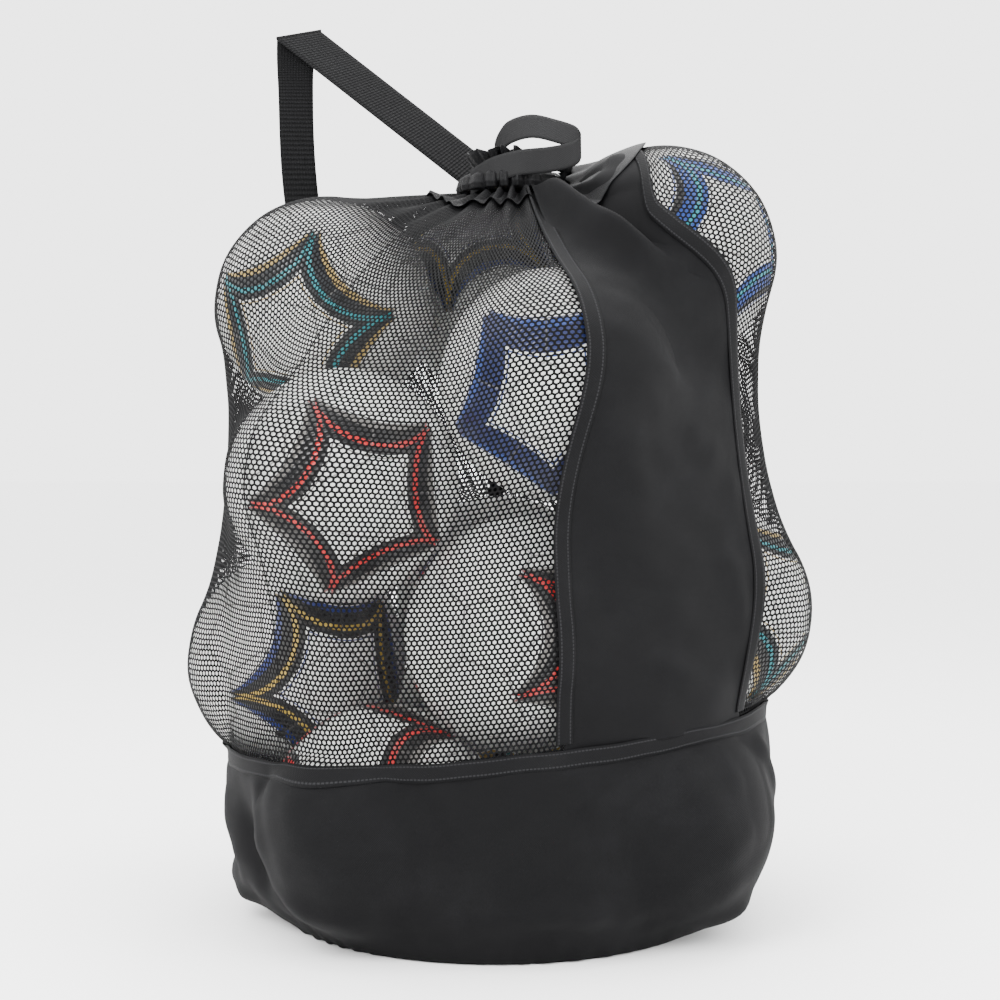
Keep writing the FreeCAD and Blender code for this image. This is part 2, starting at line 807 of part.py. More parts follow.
def tail_radius():
    """Distance from the neck's axis to the upright run of the cord."""
    return eyelet_seat() + size("cord_bend") + 1.5


def cord_path():
    """Centre line of the cord: up one tail, round the ring and up the other tail."""
    ring, bend, side = size("cord_ring_radius"), size("cord_bend"), strand_offset()
    turn_x = math.sqrt((ring + bend) ** 2 - (side + bend) ** 2)
    tail = tail_radius()
    top = size("cord_tail")
    diagonal = bend * math.sqrt(0.5)

    def local(x, y, z):
        return cord_level() + exit_rotation().multVec(FreeCAD.Vector(x, y, z))

    def arc(a, b, c):
        return Part.Arc(a, b, c).toShape()

    edges = []
    for sign in (1, -1):
        touch = local((ring * turn_x) / (ring + bend), sign * ring * (side + bend) / (ring + bend), 0)
        centre = local(turn_x, sign * (side + bend), 0)
        inner = local(turn_x, sign * side, 0)
        half = ((touch - centre).normalize() + (inner - centre).normalize()).normalize() * bend
        outer = local(tail - bend, sign * side, 0)
        lifted = local(tail - bend + diagonal, sign * side, bend - diagonal)
        upright = local(tail, sign * side, bend)
        run = [Part.makeLine(local(tail, sign * side, top), upright), arc(upright, lifted, outer),
               Part.makeLine(outer, inner), arc(inner, centre + half, touch)]
        edges.append((run, touch))
    (first, start), (second, end) = edges
    around = arc(start, local(-ring, 0, 0), end)
    return Part.Wire(Part.__sortEdges__(first + [around] + second)), local(tail, strand_offset(), top)


def make_cord():
    """Draw cord: one length whose two ends leave together through the eyelet."""
    path, tip = cord_path()
    section = Part.Wire(Part.makeCircle(size("cord_diameter") / 2, tip, FreeCAD.Vector(0, 0, 1)))
    sweep = Part.BRepOffsetAPI.MakePipeShell(path)
    sweep.setFrenetMode(True)
    sweep.add(section)
    sweep.build()
    sweep.makeSolid()
    solid = sweep.shape()
    ideal = math.pi * (size("cord_diameter") / 2) ** 2 * path.Length
    print("draw cord: length %.1f mm, volume %.1f, section times length %.1f"
          % (path.Length, solid.Volume, ideal))
    add_feature("draw_cord", solid)


def make_frill():
    """Gathered edge of the collar, standing above the casing."""
    base = "Sizes.casing_rise + Sizes.casing_height + Sizes.fit_gap"
    top = base + " + Sizes.frill_height"
    root = "Sizes.cord_ring_radius - Sizes.collar_lap"
    wall = "Sizes.cloth_thickness * 2"
    corners = [(root, base), (root + " + " + wall, base), ("Sizes.frill_radius", top),
               ("Sizes.frill_radius - " + wall, top)]
    turned_body("collar_frill", corners, at(NECK))


def lock_rest():
    """Middle of the cord lock at rest, low on the upright run."""
    gap = size("cord_bend") + size("lock_diameter") / 2 + 2 * size("fit_gap")
    return cord_level() + exit_direction() * tail_radius() + FreeCAD.Vector(0, 0, gap)


def make_lock():
    """Cord lock: barrel with a bore and a slot, a plunger and its spring.

    The barrel lies across the two strands. Distances along it are from the strands.
    """
    across = exit_rotation().multVec(FreeCAD.Vector(0, 1, 0))
    turn = FreeCAD.Rotation(FreeCAD.Vector(0, 0, 1), across)
    middle = lock_rest()
    window_clearance = size("fit_gap") + 0.2
    window = strand_offset() + size("cord_diameter") / 2 + window_clearance
    rod_start = -window - size("plunger_web")
    spring_start = rod_start - size("plunger_travel") - size("spring_solid")
    barrel_start = spring_start - size("lock_wall")
    barrel_end = window + size("lock_wall")
    rod_end = barrel_end + size("plunger_travel") + size("plunger_head")

    def along_axis(distance):
        return at(middle + across * distance, turn)

    barrel = primitive("Part::Cylinder", "lock_barrel_outside", {"Radius": "Sizes.lock_diameter / 2"},
                       along_axis(barrel_start))
    barrel.Height = barrel_end - barrel_start
    hollow = primitive("Part::Cylinder", "lock_barrel_bore", {"Radius": "Sizes.lock_bore / 2"},
                       along_axis(spring_start))
    hollow.Height = barrel_end - spring_start + 1
    slot = strand_box("lock_barrel_slot", middle, size("fit_gap"), 0)
    opened = boolean("Part::Cut", "lock_barrel_bored", barrel, hollow)
    PIECES.append(boolean("Part::Cut", "cord_lock_barrel", opened, slot))
    rod = primitive("Part::Cylinder", "lock_plunger_rod", {"Radius": "Sizes.lock_bore / 2 - Sizes.fit_gap"},
                    along_axis(rod_start))
    rod.Height = rod_end - rod_start
    opening = strand_box("lock_plunger_window", middle, window_clearance, size("plunger_travel"))
    PIECES.append(boolean("Part::Cut", "cord_lock_plunger", rod, opening))
    play = size("spring_play")
    make_spring(middle + across * (spring_start + play), turn, size("lock_bore") / 2 - size("spring_inset"),
                rod_start - spring_start - 2 * play)


def strand_box(label, middle, clearance, extra):
    """Box round both strands, right through the lock, longer on the plunger's head side."""
    thick = size("cord_diameter") + 2 * clearance
    wide = 2 * strand_offset() + size("cord_diameter") + 2 * clearance
    tall = size("lock_diameter") * 2
    corner = middle + exit_rotation().multVec(FreeCAD.Vector(-thick / 2, -wide / 2, -tall / 2))
    box = primitive("Part::Box", label, {}, FreeCAD.Placement(corner, exit_rotation()))
    box.Length = thick
    box.Width = wide + extra
    box.Height = tall
    return box


def make_spring(base, turn, radius, length):
    """Coil spring of square steel wire behind the plunger."""
    wire = size("spring_wire")
    middle = radius - wire / 2
    helix = Part.makeHelix(size("spring_pitch"), length - 2 * wire, middle)
    corners = [FreeCAD.Vector(middle + x * wire / 2, 0, z * wire / 2)
               for x, z in ((-1, -1), (1, -1), (1, 1), (-1, 1), (-1, -1))]
    coil = Part.Wire(helix).makePipeShell([Part.makePolygon(corners)], True, True)
    coil.translate(FreeCAD.Vector(0, 0, wire))
    coil.Placement = at(base, turn) * coil.Placement
    add_feature("cord_lock_spring", coil)


def make_bell():
    """Plastic bell that caps both ends of the cord."""
    corners = [("0", "0"), ("Sizes.bell_radius * 0.8", "0"), ("Sizes.bell_radius", "Sizes.bell_height * 0.25"),
               ("Sizes.bell_radius", "Sizes.bell_height * 0.6"),
               ("Sizes.bell_radius * 0.75", "Sizes.bell_height * 0.9"),
               ("Sizes.bell_radius * 0.4", "Sizes.bell_height"), ("0", "Sizes.bell_height")]
    top = cord_level() + exit_direction() * tail_radius() + FreeCAD.Vector(0, 0, size("cord_tail"))
    turned_body("cord_end_bell", corners, at(top + FreeCAD.Vector(0, 0, 0.05)))


# ---------------------------------------------------------------- handle and strap

def smooth_rows(stations, parts):
    """Rows on smooth curves through the left and the right ends of the stations."""
    rows = []
    last = len(stations) - 1
    for i in range(last):
        near = [stations[min(max(i + k, 0), last)] for k in (-1, 0, 1, 2)]
        for part in range(parts):
            share = part / parts
            rows.append(tuple(cubic(*[station[side] for station in near], share) for side in (0, 1)))
    rows.append(stations[last])
    return rows


def make_handle():
    """Flat webbing loop at the front of the collar, sewn down at its two ends."""
    half = size("handle_width") / 2
    front = size("casing_outer") + size("handle_thickness") + 4 * size("fit_gap")
    level = size("casing_rise") + size("casing_height") / 2
    over = size("casing_rise") + size("casing_height") + size("fit_gap")
    route = [
        (-31.0, -0.77 * front, level + 4, 0.1),
        (-18.0, -0.95 * front, level + 9, 0.1),
        (6.0, -1.10 * front, level + 14, 0.12),
        (36.0, -1.13 * front, level + 17, 0.15),
        (57.0, -1.11 * front, level + 22, 0.2),
        (66.0, -1.07 * front, level + 29, 0.25),
        (62.0, -0.99 * front, level + 39, 0.3),
        (42.0, -0.92 * front, level + 47, 0.35),
        (18.0, -0.80 * front, level + 53, 0.35),
        (-4.0, -0.62 * front, over + 37, 0.3),
        (-14.0, -0.46 * front, over + 26, 0.2),
    ]
    stations = []
    for x, y, z, lean in route:
        across = FreeCAD.Vector(0, lean, 1).normalize() * half
        middle = NECK + FreeCAD.Vector(x, y, z)
        stations.append((middle - across, middle + across))
    strip_solid("carry_handle", smooth_rows(stations, 3), size("handle_thickness"))
    print("handle's sewn ends", mix(*stations[0], 0.5), mix(*stations[-1], 0.5))
    print("handle's outer end", mix(*stations[6], 0.5))


def tab_frame(bearing):
    """Upright plate facing a bearing: X across, Y outward, Z up."""
    return FreeCAD.Rotation(FreeCAD.Vector(0, 0, 1), bearing - 180)


def make_tab(label, middle, rotation):
    """Sewn square of webbing that holds one end of the strap."""
    box = primitive("Part::Box", label, {"Length": "Sizes.strap_width", "Width": "Sizes.strap_thickness",
                                         "Height": "Sizes.tab_height"})
    corner = FreeCAD.Vector(-size("strap_width") / 2, -size("strap_thickness") / 2, -size("tab_height") / 2)
    box.Placement = FreeCAD.Placement(middle + rotation.multVec(corner), rotation)
    PIECES.append(box)



def strap_ends():
    """Middles of the two sewn tabs and the directions that they face."""
    step = size("strap_thickness") + size("fit_gap")
    out = bearing_vector(STRAP_TOP_BEARING)
    top = cord_level() + out * (size("casing_outer") + step / 2 + size("fit_gap"))
    top.z += (size("tab_height") - size("casing_height")) / 2 + 5 * size("fit_gap")
    row = row_at(rim_height(STRAP_BEARING) - size("tape_width") / 2 - size("tab_height") / 2 - 3)
    normal = skin_normal(STRAP_BEARING, row)
    low = cloth_point(STRAP_BEARING, row, size("cloth_thickness") + step / 2 + 3 * size("fit_gap"))
    return top, out, low, normal


def make_strap():
    """Shoulder strap: up from the collar, folded over at its peak, down the back."""
    top, out, low, normal = strap_ends()
    step = size("strap_thickness") + size("fit_gap")
    half = size("strap_width") / 2
    make_tab("strap_tab_top", top, tab_frame(STRAP_TOP_BEARING))
    across = FreeCAD.Vector(0, 0, 1).cross(normal).normalize()
    up = normal.cross(across).normalize()
    tilt = FreeCAD.Rotation(across * -1, normal * -1, up, "ZXY")
    make_tab("strap_tab_bottom", low, tilt)
    start = top + out * step
    finish = low + normal * step
    reach, peak = size("strap_reach"), size("strap_peak")
    hub = NECK + FreeCAD.Vector(-reach, 0, peak)
    fold_left = hub + FreeCAD.Vector(*FOLD_LEFT)
    fold_right = hub + FreeCAD.Vector(*FOLD_RIGHT)
    run = (mix(fold_left, fold_right, 0.5) - start).normalize()
    wide = out.cross(run).normalize() * half
    if wide.z < 0:
        wide = wide * -1
    rows = []
    for part in range(9):
        share = part / 8
        rows.append((mix(start - wide, fold_left, share), mix(start + wide, fold_right, share)))
    bend = size("strap_thickness") * FOLD_BEND
    for angle in (45, 90, 135):
        turn = math.radians(angle)
        lift = FreeCAD.Vector(0, bend * (1 - math.cos(turn)), bend * math.sin(turn))
        rows.append((fold_left + lift, fold_right + lift))
    back = FreeCAD.Vector(0, 2 * bend, 0)
    hang = [(fold_left + back, fold_right + back)]
    for drop, behind, left, right in HANGING:
        hang.append((hub + FreeCAD.Vector(left, behind, -drop), hub + FreeCAD.Vector(right, behind, -drop)))
    for height in STRAP_HEIGHTS:
        row = row_at(height)
        outward = skin_normal(STRAP_BEARING, row)
        middle = cloth_point(STRAP_BEARING, row, size("strap_clearance"))
        side = outward.cross(FreeCAD.Vector(0, 0, 1)).normalize() * half
        hang.append((middle - side, middle + side))
    for rise, lift in SEWN_DOWN:
        middle = finish + up * rise + normal * lift
        hang.append((middle + across * half, middle - across * half))
    rows.extend(smooth_rows(hang, 4))
    strip_solid("shoulder_strap", rows, size("strap_thickness"))
    print("strap's sewn ends", start, finish)
    print("strap's fold", mix(fold_left, fold_right, 0.5))


# ---------------------------------------------------------------- build and write

def build():
    make_base()
    make_cup()
    make_rim_tape()
    make_wall()
    make_upright_tape("panel_tape_left", panel_left)
    make_upright_tape("panel_tape_right", panel_right)
    make_upright_tape("back_seam_tape", back_seam)
    make_collar()
    make_casing()
    make_frill()
    make_eyelet()
    make_cord()
    make_lock()
    make_bell()
    make_handle()
    make_strap()
    for number, name in enumerate(BALLS):
        make_ball(name, number)
    make_valves()


def check():
    """Stop if any object failed or any piece is empty or broken."""
    doc.recompute()
    for item in doc.Objects:
        if "Invalid" in item.State or "Error" in item.State:
            raise RuntimeError("%s: %s" % (item.Label, item.State))
    for piece in PIECES:
        if piece.Shape.isNull() or not piece.Shape.isValid() or not piece.Shape.Solids:
            raise RuntimeError("bad shape: " + piece.Label)


def write():
    os.makedirs("parts", exist_ok=True)
    for piece in PIECES:
        piece.Shape.exportStep("parts/%s.step" % piece.Label)
        print("%-20s solids %2d volume %10.1f" % (piece.Label, len(piece.Shape.Solids), piece.Shape.Volume))


build()
check()
write()
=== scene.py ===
import logging
import math
from dataclasses import dataclass, field
from enum import Enum
from functools import partial
from typing import Callable, Sequence

import bmesh
import bpy
import numpy as np
from mathutils import Matrix, Quaternion, Vector


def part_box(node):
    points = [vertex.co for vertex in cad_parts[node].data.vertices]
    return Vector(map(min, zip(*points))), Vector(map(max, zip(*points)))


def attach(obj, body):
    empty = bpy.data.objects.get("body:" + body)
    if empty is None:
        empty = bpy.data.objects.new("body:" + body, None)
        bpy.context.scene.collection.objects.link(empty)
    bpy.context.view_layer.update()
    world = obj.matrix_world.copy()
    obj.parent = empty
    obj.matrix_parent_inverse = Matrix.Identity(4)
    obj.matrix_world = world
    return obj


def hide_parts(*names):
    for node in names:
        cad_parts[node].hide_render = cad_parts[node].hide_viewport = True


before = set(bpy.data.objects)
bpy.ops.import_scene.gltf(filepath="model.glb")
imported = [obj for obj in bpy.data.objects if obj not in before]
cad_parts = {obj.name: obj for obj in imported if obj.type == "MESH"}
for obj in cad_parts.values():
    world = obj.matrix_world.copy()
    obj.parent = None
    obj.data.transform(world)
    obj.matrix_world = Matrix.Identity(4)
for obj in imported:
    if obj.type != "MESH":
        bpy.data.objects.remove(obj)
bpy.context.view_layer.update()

log = logging.getLogger("ball_bag")

Array = np.ndarray


# ------------------------------------------------------------------ where things lie


def box_middle(node: str) -> Array:
    """Middle of a CAD node's box."""
    low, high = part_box(node)
    return (np.array(low) + np.array(high)) / 2


def unit(v: Array) -> Array:
    """Vectors along the last axis, scaled to length one."""
    return v / np.maximum(np.linalg.norm(v, axis=-1, keepdims=True), 1e-12)


def ease(x: Array | float) -> Array | float:
    """Smooth step from 0 to 1."""
    x = np.clip(x, 0.0, 1.0)
    return x * x * (3 - 2 * x)


def catmull(p0: Array, p1: Array, p2: Array, p3: Array, t: Array) -> Array:
    """Catmull-Rom curve through p1 and p2."""
    return 0.5 * (2 * p1 + (p2 - p0) * t + (2 * p0 - 5 * p1 + 4 * p2 - p3) * t**2
                  + (3 * p1 - p0 - 3 * p2 + p3) * t**3)


class Zone(Enum):
    """The two heights of cloth that meet at the cup's rim."""

    CUP = "cup"
    WALL = "wall"


@dataclass
class Skin:
    """The bag's cloth, pulled tight over the balls, as a grid of points round the bag.

    Bearings are degrees from the front towards +X. A row is a height on the grid: row 0
    is sewn to the base and the last row to the collar.
    """

    ball_nodes: Sequence[str]
    clearance: float = 0.0022
    bearing_step: float = 2.0
    body_rows: int = 44
    shoulder_rows: int = 16
    rim: float = 0.187
    rim_rise: float = 0.023
    cup_half_width: float = 0.268
    cup_half_depth: float = 0.240
    relax_steps: int = 2200
    slide_steps: int = 160
    pivot_drop: float = 0.022
    neck_radius: float = 0.054
    cinch_height: float = 0.05
    above_piping: float = 0.003
    below_casing: float = 0.006
    table_size: int = 81
    centres: Array = field(init=False)
    radius: float = field(init=False)
    base_radius: float = field(init=False)
    neck: Array = field(init=False)
    pivot: float = field(init=False)
    bearings: Array = field(init=False)
    shares: Array = field(init=False)
    tables: dict[Zone, Array] = field(init=False)
    lengths: dict[Zone, Array] = field(init=False)
    grid: Array = field(init=False)

    def __post_init__(self) -> None:
        """Read the balls, the base and the neck from the frame and pull the cloth tight."""
        self.centres = np.array([box_middle(n) for n in self.ball_nodes])
        low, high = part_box(self.ball_nodes[0])
        self.radius = (high[2] - low[2]) / 2
        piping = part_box("base_piping")
        self.base_radius = piping[1][0] + 0.001
        casing_low, casing_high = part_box("cord_casing")
        middle = (np.array(casing_low) + np.array(casing_high)) / 2
        self.neck = np.array([middle[0], middle[1], casing_low[2] - self.below_casing])
        self.pivot = self.centres[:, 2].max() - self.pivot_drop
        self.bearings = np.arange(0, 360, self.bearing_step)
        self.grid = self._cinch(self._slide(self._relax()))
        self._measure()

    @staticmethod
    def outward(bearing: Array) -> Array:
        """Level direction at a bearing."""
        turn = np.radians(bearing)
        return np.stack([np.sin(turn), -np.cos(turn), np.zeros_like(turn)], -1)

    def rim_height(self, bearing: Array) -> Array:
        """Height of the cup's rim, which climbs a little towards the right."""
        return self.rim + self.rim_rise * np.sin(np.radians(bearing))

    def cup_reach(self, bearing: Array, height: Array) -> Array:
        """Half width of the slack cup, which stands out from the balls behind it.

        Args:
            bearing: degrees round the bag.
            height: height above the floor, in metres.

        Returns:
            The least distance from the upright through the middle, nought above the rim.
        """
        turn = np.radians(bearing)
        ellipse = 1 / np.hypot(np.sin(turn) / self.cup_half_width, np.cos(turn) / self.cup_half_depth)
        share = np.interp(height, [0.0, 0.02, 0.046, 0.107], [0.76, 0.9, 0.97, 1.0])
        return np.where(height > self.rim_height(bearing), 0.0, ellipse * share)

    def _rays(self) -> tuple[Array, Array]:
        """Lay out the rays on which the free points lie.

        Returns:
            Origins and directions, by bearing and row.
        """
        outward = self.outward(self.bearings)
        heights = np.linspace(0.02, self.pivot, self.body_rows)
        lifts = np.radians(np.linspace(3, 48, self.shoulder_rows))
        count = len(self.bearings)
        origins = np.zeros((count, self.body_rows + self.shoulder_rows, 3))
        directions = np.zeros_like(origins)
        origins[:, :self.body_rows, 2] = heights
        directions[:, :self.body_rows] = outward[:, None]
        share = (lifts / lifts[-1])[:, None]
        origins[:, self.body_rows:] = self.neck * [1, 1, 0] * share + [0, 0, self.pivot]
        directions[:, self.body_rows:] = outward[:, None] * np.cos(lifts)[None, :, None]
        directions[:, self.body_rows:, 2] = np.sin(lifts)
        return origins, directions

    def _relax(self) -> Array:
        """Let each point slide on its ray to the mean of its neighbours, outside the balls.

        Returns:
            The tight cloth, with its sewn rows at both ends.
        """
        origins, directions = self._rays()
        least = np.zeros(origins.shape[:2])
        reach = self.radius + self.clearance
        for centre in self.centres:
            offset = centre - origins
            along = (offset * directions).sum(-1)
            square = along**2 - (offset**2).sum(-1) + reach**2
            least = np.maximum(least, np.where(square > 0, along + np.sqrt(np.maximum(square, 0)), 0))
        least = np.maximum(least, self.cup_reach(self.bearings[:, None], origins[..., 2]))
        low = self.outward(self.bearings) * self.base_radius + [0, 0, self.above_piping]
        high = self.neck + self.outward(self.bearings) * self.neck_radius
        amount = least.copy()
        for _ in range(self.relax_steps):
            points = origins + directions * amount[..., None]
            padded = np.concatenate([low[:, None], points, high[:, None]], 1)
            beside = np.roll(points, 1, 0) + np.roll(points, -1, 0)
            mean = (beside + padded[:, :-2] + padded[:, 2:]) / 4
            amount = np.maximum(least, ((mean - origins) * directions).sum(-1))
        points = origins + directions * amount[..., None]
        return np.concatenate([low[:, None], points, high[:, None]], 1)

    def clear_of_balls(self, points: Array, clearance: float | None = None) -> Array:
        """Move points straight out of any ball that they lie in.

        Args:
            points: any points.
            clearance: gap to keep from a ball, the skin's own if left out.

        Returns:
            The moved points.
        """
        reach = self.radius + (self.clearance if clearance is None else clearance)
        for centre in self.centres:
            offset = points - centre
            length = np.linalg.norm(offset, axis=-1, keepdims=True)
            points = np.where(length < reach, centre + offset * (reach / np.maximum(length, 1e-9)), points)
        return points

    def _slide(self, grid: Array) -> Array:
        """Let the points slide freely over the balls, which evens out the cloth.

        Args:
            grid: cloth by bearing and row, changed in place.

        Returns:
            The same grid.
        """
        bearing = self.bearings[:, None]
        for _ in range(self.slide_steps):
            mean = (np.roll(grid, 1, 0) + np.roll(grid, -1, 0))[:, 1:-1] + grid[:, :-2] + grid[:, 2:]
            points = self.clear_of_balls(mean / 4)
            width = np.hypot(points[..., 0], points[..., 1])
            stretch = np.maximum(1.0, self.cup_reach(bearing, points[..., 2]) / width)
            points[..., :2] *= stretch[..., None]
            grid[:, 1:-1] = points
        return grid

    def _cinch(self, grid: Array) -> Array:
        """Draw the cloth in at the rim, where its binding is shorter than the bulge above.

        Args:
            grid: cloth by bearing and row.

        Returns:
            The grid, still clear of the balls.
        """
        turn = np.radians(self.bearings)[:, None]
        target = 1 / np.hypot(np.sin(turn) / self.cup_half_width, np.cos(turn) / self.cup_half_depth)
        width = np.hypot(grid[..., 0], grid[..., 1])
        off = (grid[..., 2] - self.rim_height(self.bearings)[:, None]) / self.cinch_height
        pull = np.exp(-off**2) * np.maximum(width - target, 0)
        grid[..., :2] *= (1 - pull / np.maximum(width, 0.01))[..., None]
        return self.clear_of_balls(grid)

    def _measure(self) -> None:
        """Tabulate rows against shares of the length of cloth below and above the rim."""
        rows = self.grid.shape[1]
        self.shares = np.linspace(0, 1, self.table_size)
        self.tables = {z: np.zeros((len(self.bearings), self.table_size)) for z in Zone}
        self.lengths = {z: np.zeros(len(self.bearings)) for z in Zone}
        for i, bearing in enumerate(self.bearings):
            column = self.grid[i]
            rim = float(np.interp(self.rim_height(bearing), column[: self.body_rows, 2],
                                  np.arange(self.body_rows)))
            run = np.concatenate([[0], np.cumsum(np.linalg.norm(np.diff(column, axis=0), axis=1))])
            at_rim = float(np.interp(rim, np.arange(rows), run))
            self.tables[Zone.CUP][i] = np.interp(self.shares * at_rim, run, np.arange(rows))
            above = at_rim + self.shares * (run[-1] - at_rim)
            self.tables[Zone.WALL][i] = np.interp(above, run, np.arange(rows))
            self.lengths[Zone.CUP][i] = at_rim
            self.lengths[Zone.WALL][i] = run[-1] - at_rim

    def _row(self, bearing: Array, share: Array, zone: Zone) -> Array:
        """Find the row at a share of the cloth's length.

        Args:
            bearing: degrees round the bag.
            share: share of the zone's cloth, which may run a little past either end.
            zone: the cup or the wall.

        Returns:
            The row, with its fraction.
        """
        place = (bearing % 360) / self.bearing_step
        first = np.floor(place).astype(int)
        across = place - first
        last = self.table_size - 1
        up = np.clip(share, 0, 1) * last
        low = np.minimum(np.floor(up).astype(int), last - 1)
        part = up - low
        table = self.tables[zone]
        count = len(self.bearings)
        a, b = table[first % count, low], table[first % count, low + 1]
        c, d = table[(first + 1) % count, low], table[(first + 1) % count, low + 1]
        row = (a * (1 - part) + b * part) * (1 - across) + (c * (1 - part) + d * part) * across
        step = table[0, -1] - table[0, 0]
        return row + np.where(share < 0, share * step, 0) + np.where(share > 1, (share - 1) * step, 0)

    def _sample(self, bearing: Array, row: Array) -> Array:
        """Read the grid between its points.

        Args:
            bearing: degrees round the bag.
            row: row with its fraction.

        Returns:
            The points.
        """
        place = (bearing % 360) / self.bearing_step
        column = np.floor(place).astype(int)
        across = (place - column)[..., None]
        last = self.grid.shape[1] - 1
        base = np.clip(np.floor(row).astype(int), 0, last - 1)
        up = (row - base)[..., None]
        lines = []
        for i in (-1, 0, 1, 2):
            points = [self.grid[(column + i) % len(self.grid), np.clip(base + j, 0, last)]
                      for j in (-1, 0, 1, 2)]
            lines.append(catmull(*points, up))
        return catmull(*lines, across)

    def place(self, bearing: Array, share: Array, zone: Zone, lift: Array | float = 0.0) -> Array:
        """Points on the cloth.

        Args:
            bearing: degrees round the bag.
            share: share of the cloth's length in the zone, from its lower edge.
            zone: the cup below the rim or the wall above it.
            lift: distance outside the cloth's own surface.

        Returns:
            The points, one for each bearing and share.
        """
        bearing, share = np.broadcast_arrays(np.asarray(bearing, float), np.asarray(share, float))
        row = self._row(bearing, share, zone)
        point = self._sample(bearing, row)
        return point + self.normal(bearing, row) * np.asarray(lift)[..., None]

    def normal(self, bearing: Array, row: Array) -> Array:
        """Outward direction of the cloth.

        Args:
            bearing: degrees round the bag.
            row: row with its fraction.

        Returns:
            Unit vectors.
        """
        last = self.grid.shape[1] - 1
        around = self._sample(bearing + 1.0, row) - self._sample(bearing - 1.0, row)
        above = self._sample(bearing, np.minimum(row + 0.6, last))
        below = self._sample(bearing, np.maximum(row - 0.6, 0))
        return unit(np.cross(around, above - below))

    def bearing_row(self, bearing: float, height: float) -> float:
        """Find the share of the wall's cloth at which a bearing reaches a height.

        Args:
            bearing: degrees round the bag.
            height: height above the floor, in metres.

        Returns:
            The share.
        """
        shares = np.linspace(0, 0.75, 200)
        points = self.place(np.full(200, bearing), shares, Zone.WALL)
        return float(np.interp(height, points[:, 2], shares))


@dataclass(frozen=True)
class Fold:
    """One soft ridge or hollow in a cloth, along a line from one bearing and share to another.

    The width is in metres. The far side of the line falls off faster where steep is over 1.
    """

    start: tuple[float, float]
    end: tuple[float, float]
    width: float
    depth: float
    steep: float = 1.0
    open_start: bool = False

    def lift(self, bearing: Array, share: Array, reach: float, height: float) -> Array:
        """Height of the fold.

        Args:
            bearing: degrees round the bag.
            share: share of the cloth's length.
            reach: distance of this cloth from the bag's middle.
            height: length of the cloth.

        Returns:
            How far the fold stands out at each place.
        """
        degree = math.radians(1) * reach
        ax, ay = self.start[0] * degree, self.start[1] * height
        run_x, run_y = self.end[0] * degree - ax, self.end[1] * height - ay
        length = math.hypot(run_x, run_y)
        x, y = bearing * degree - ax, share * height - ay
        along = (x * run_x + y * run_y) / length**2
        clipped = np.clip(along, 0, 1)
        off = np.hypot(x - clipped * run_x, y - clipped * run_y)
        side = (run_x * y - run_y * x) > 0
        width = np.where(side, self.width / self.steep, self.width)
        rise = ease(clipped * 3)
        near_end = 0.35 + 0.65 * rise if self.open_start else 0.15 + 0.85 * rise
        taper = near_end * (ease((1 - clipped) * 2.5) * 0.9 + 0.1)
        return self.depth * taper * np.exp(-(off / width) ** 2)


def ripple(x: Array, y: Array, scale: float, seed: int) -> Array:
    """Soft unevenness, the same on every run.

    Args:
        x: place across, in metres.
        y: place up, in metres.
        scale: usual length of a wave.
        seed: picks the waves.

    Returns:
        Values between about -1 and 1.
    """
    rng = np.random.default_rng(seed)
    total = np.zeros(np.broadcast(x, y).shape)
    for _ in range(7):
        turn, phase = rng.uniform(0, math.tau, 2)
        length = scale * rng.uniform(0.6, 1.7)
        total += np.sin((x * math.cos(turn) + y * math.sin(turn)) * math.tau / length + phase)
    return total / 4.0


# ------------------------------------------------------------------ making meshes


def new_piece(name: str, bm: bmesh.types.BMesh, smooth: bool = True) -> bpy.types.Object:
    """Make an object from a bmesh, at the origin, with its place in its mesh.

    Args:
        name: the piece's name.
        bm: its mesh, which is freed.
        smooth: shade it smooth.

    Returns:
        The new object.
    """
    mesh = bpy.data.meshes.new(name)
    bm.to_mesh(mesh)
    bm.free()
    if smooth:
        mesh.polygons.foreach_set("use_smooth", [True] * len(mesh.polygons))
    piece = bpy.data.objects.new(name, mesh)
    bpy.context.scene.collection.objects.link(piece)
    return piece


def cloth_grid(columns: int, rows: int, place: Callable[[Array, Array], Array],
               metres: tuple[float, float]) -> bmesh.types.BMesh:
    """Grid of quads laid on a surface, with a UV map in metres.

    Args:
        columns: faces across.
        rows: faces up.
        place: gives points for shares across and up, each from 0 to 1.
        metres: flat size of the cloth, across and up.

    Returns:
        The finished bmesh.
    """
    bm = bmesh.new()
    bmesh.ops.create_grid(bm, x_segments=columns, y_segments=rows, size=0.5)
    lay_flat(bm, place, metres)
    return bm


def lay_flat(bm: bmesh.types.BMesh, place: Callable[[Array, Array], Array],
             metres: tuple[float, float]) -> None:
    """Write a UV map from a flat mesh in the unit square and lay its vertices on a surface.

    Args:
        bm: the flat mesh, centred on the origin.
        place: gives points for shares across and up, each from 0 to 1.
        metres: flat size of the cloth, across and up.
    """
    uv = bm.loops.layers.uv.new("UVMap")
    for face in bm.faces:
        for loop in face.loops:
            loop[uv].uv = ((loop.vert.co.x + 0.5) * metres[0], (loop.vert.co.y + 0.5) * metres[1])
    flat = np.array([v.co[:2] for v in bm.verts]) + 0.5
    for vert, point in zip(bm.verts, place(flat[:, 0], flat[:, 1])):
        vert.co = point
    bm.normal_update()


def thicken(piece: bpy.types.Object, thickness: float, offset: float = 1.0) -> None:
    """Give a cloth its thickness with a live modifier.

    Args:
        piece: the cloth.
        thickness: in metres.
        offset: 1 grows it outwards, 0 both ways.
    """
    solid = piece.modifiers.new("Thickness", "SOLIDIFY")
    solid.thickness = thickness
    solid.offset = offset
    solid.use_even_offset = False


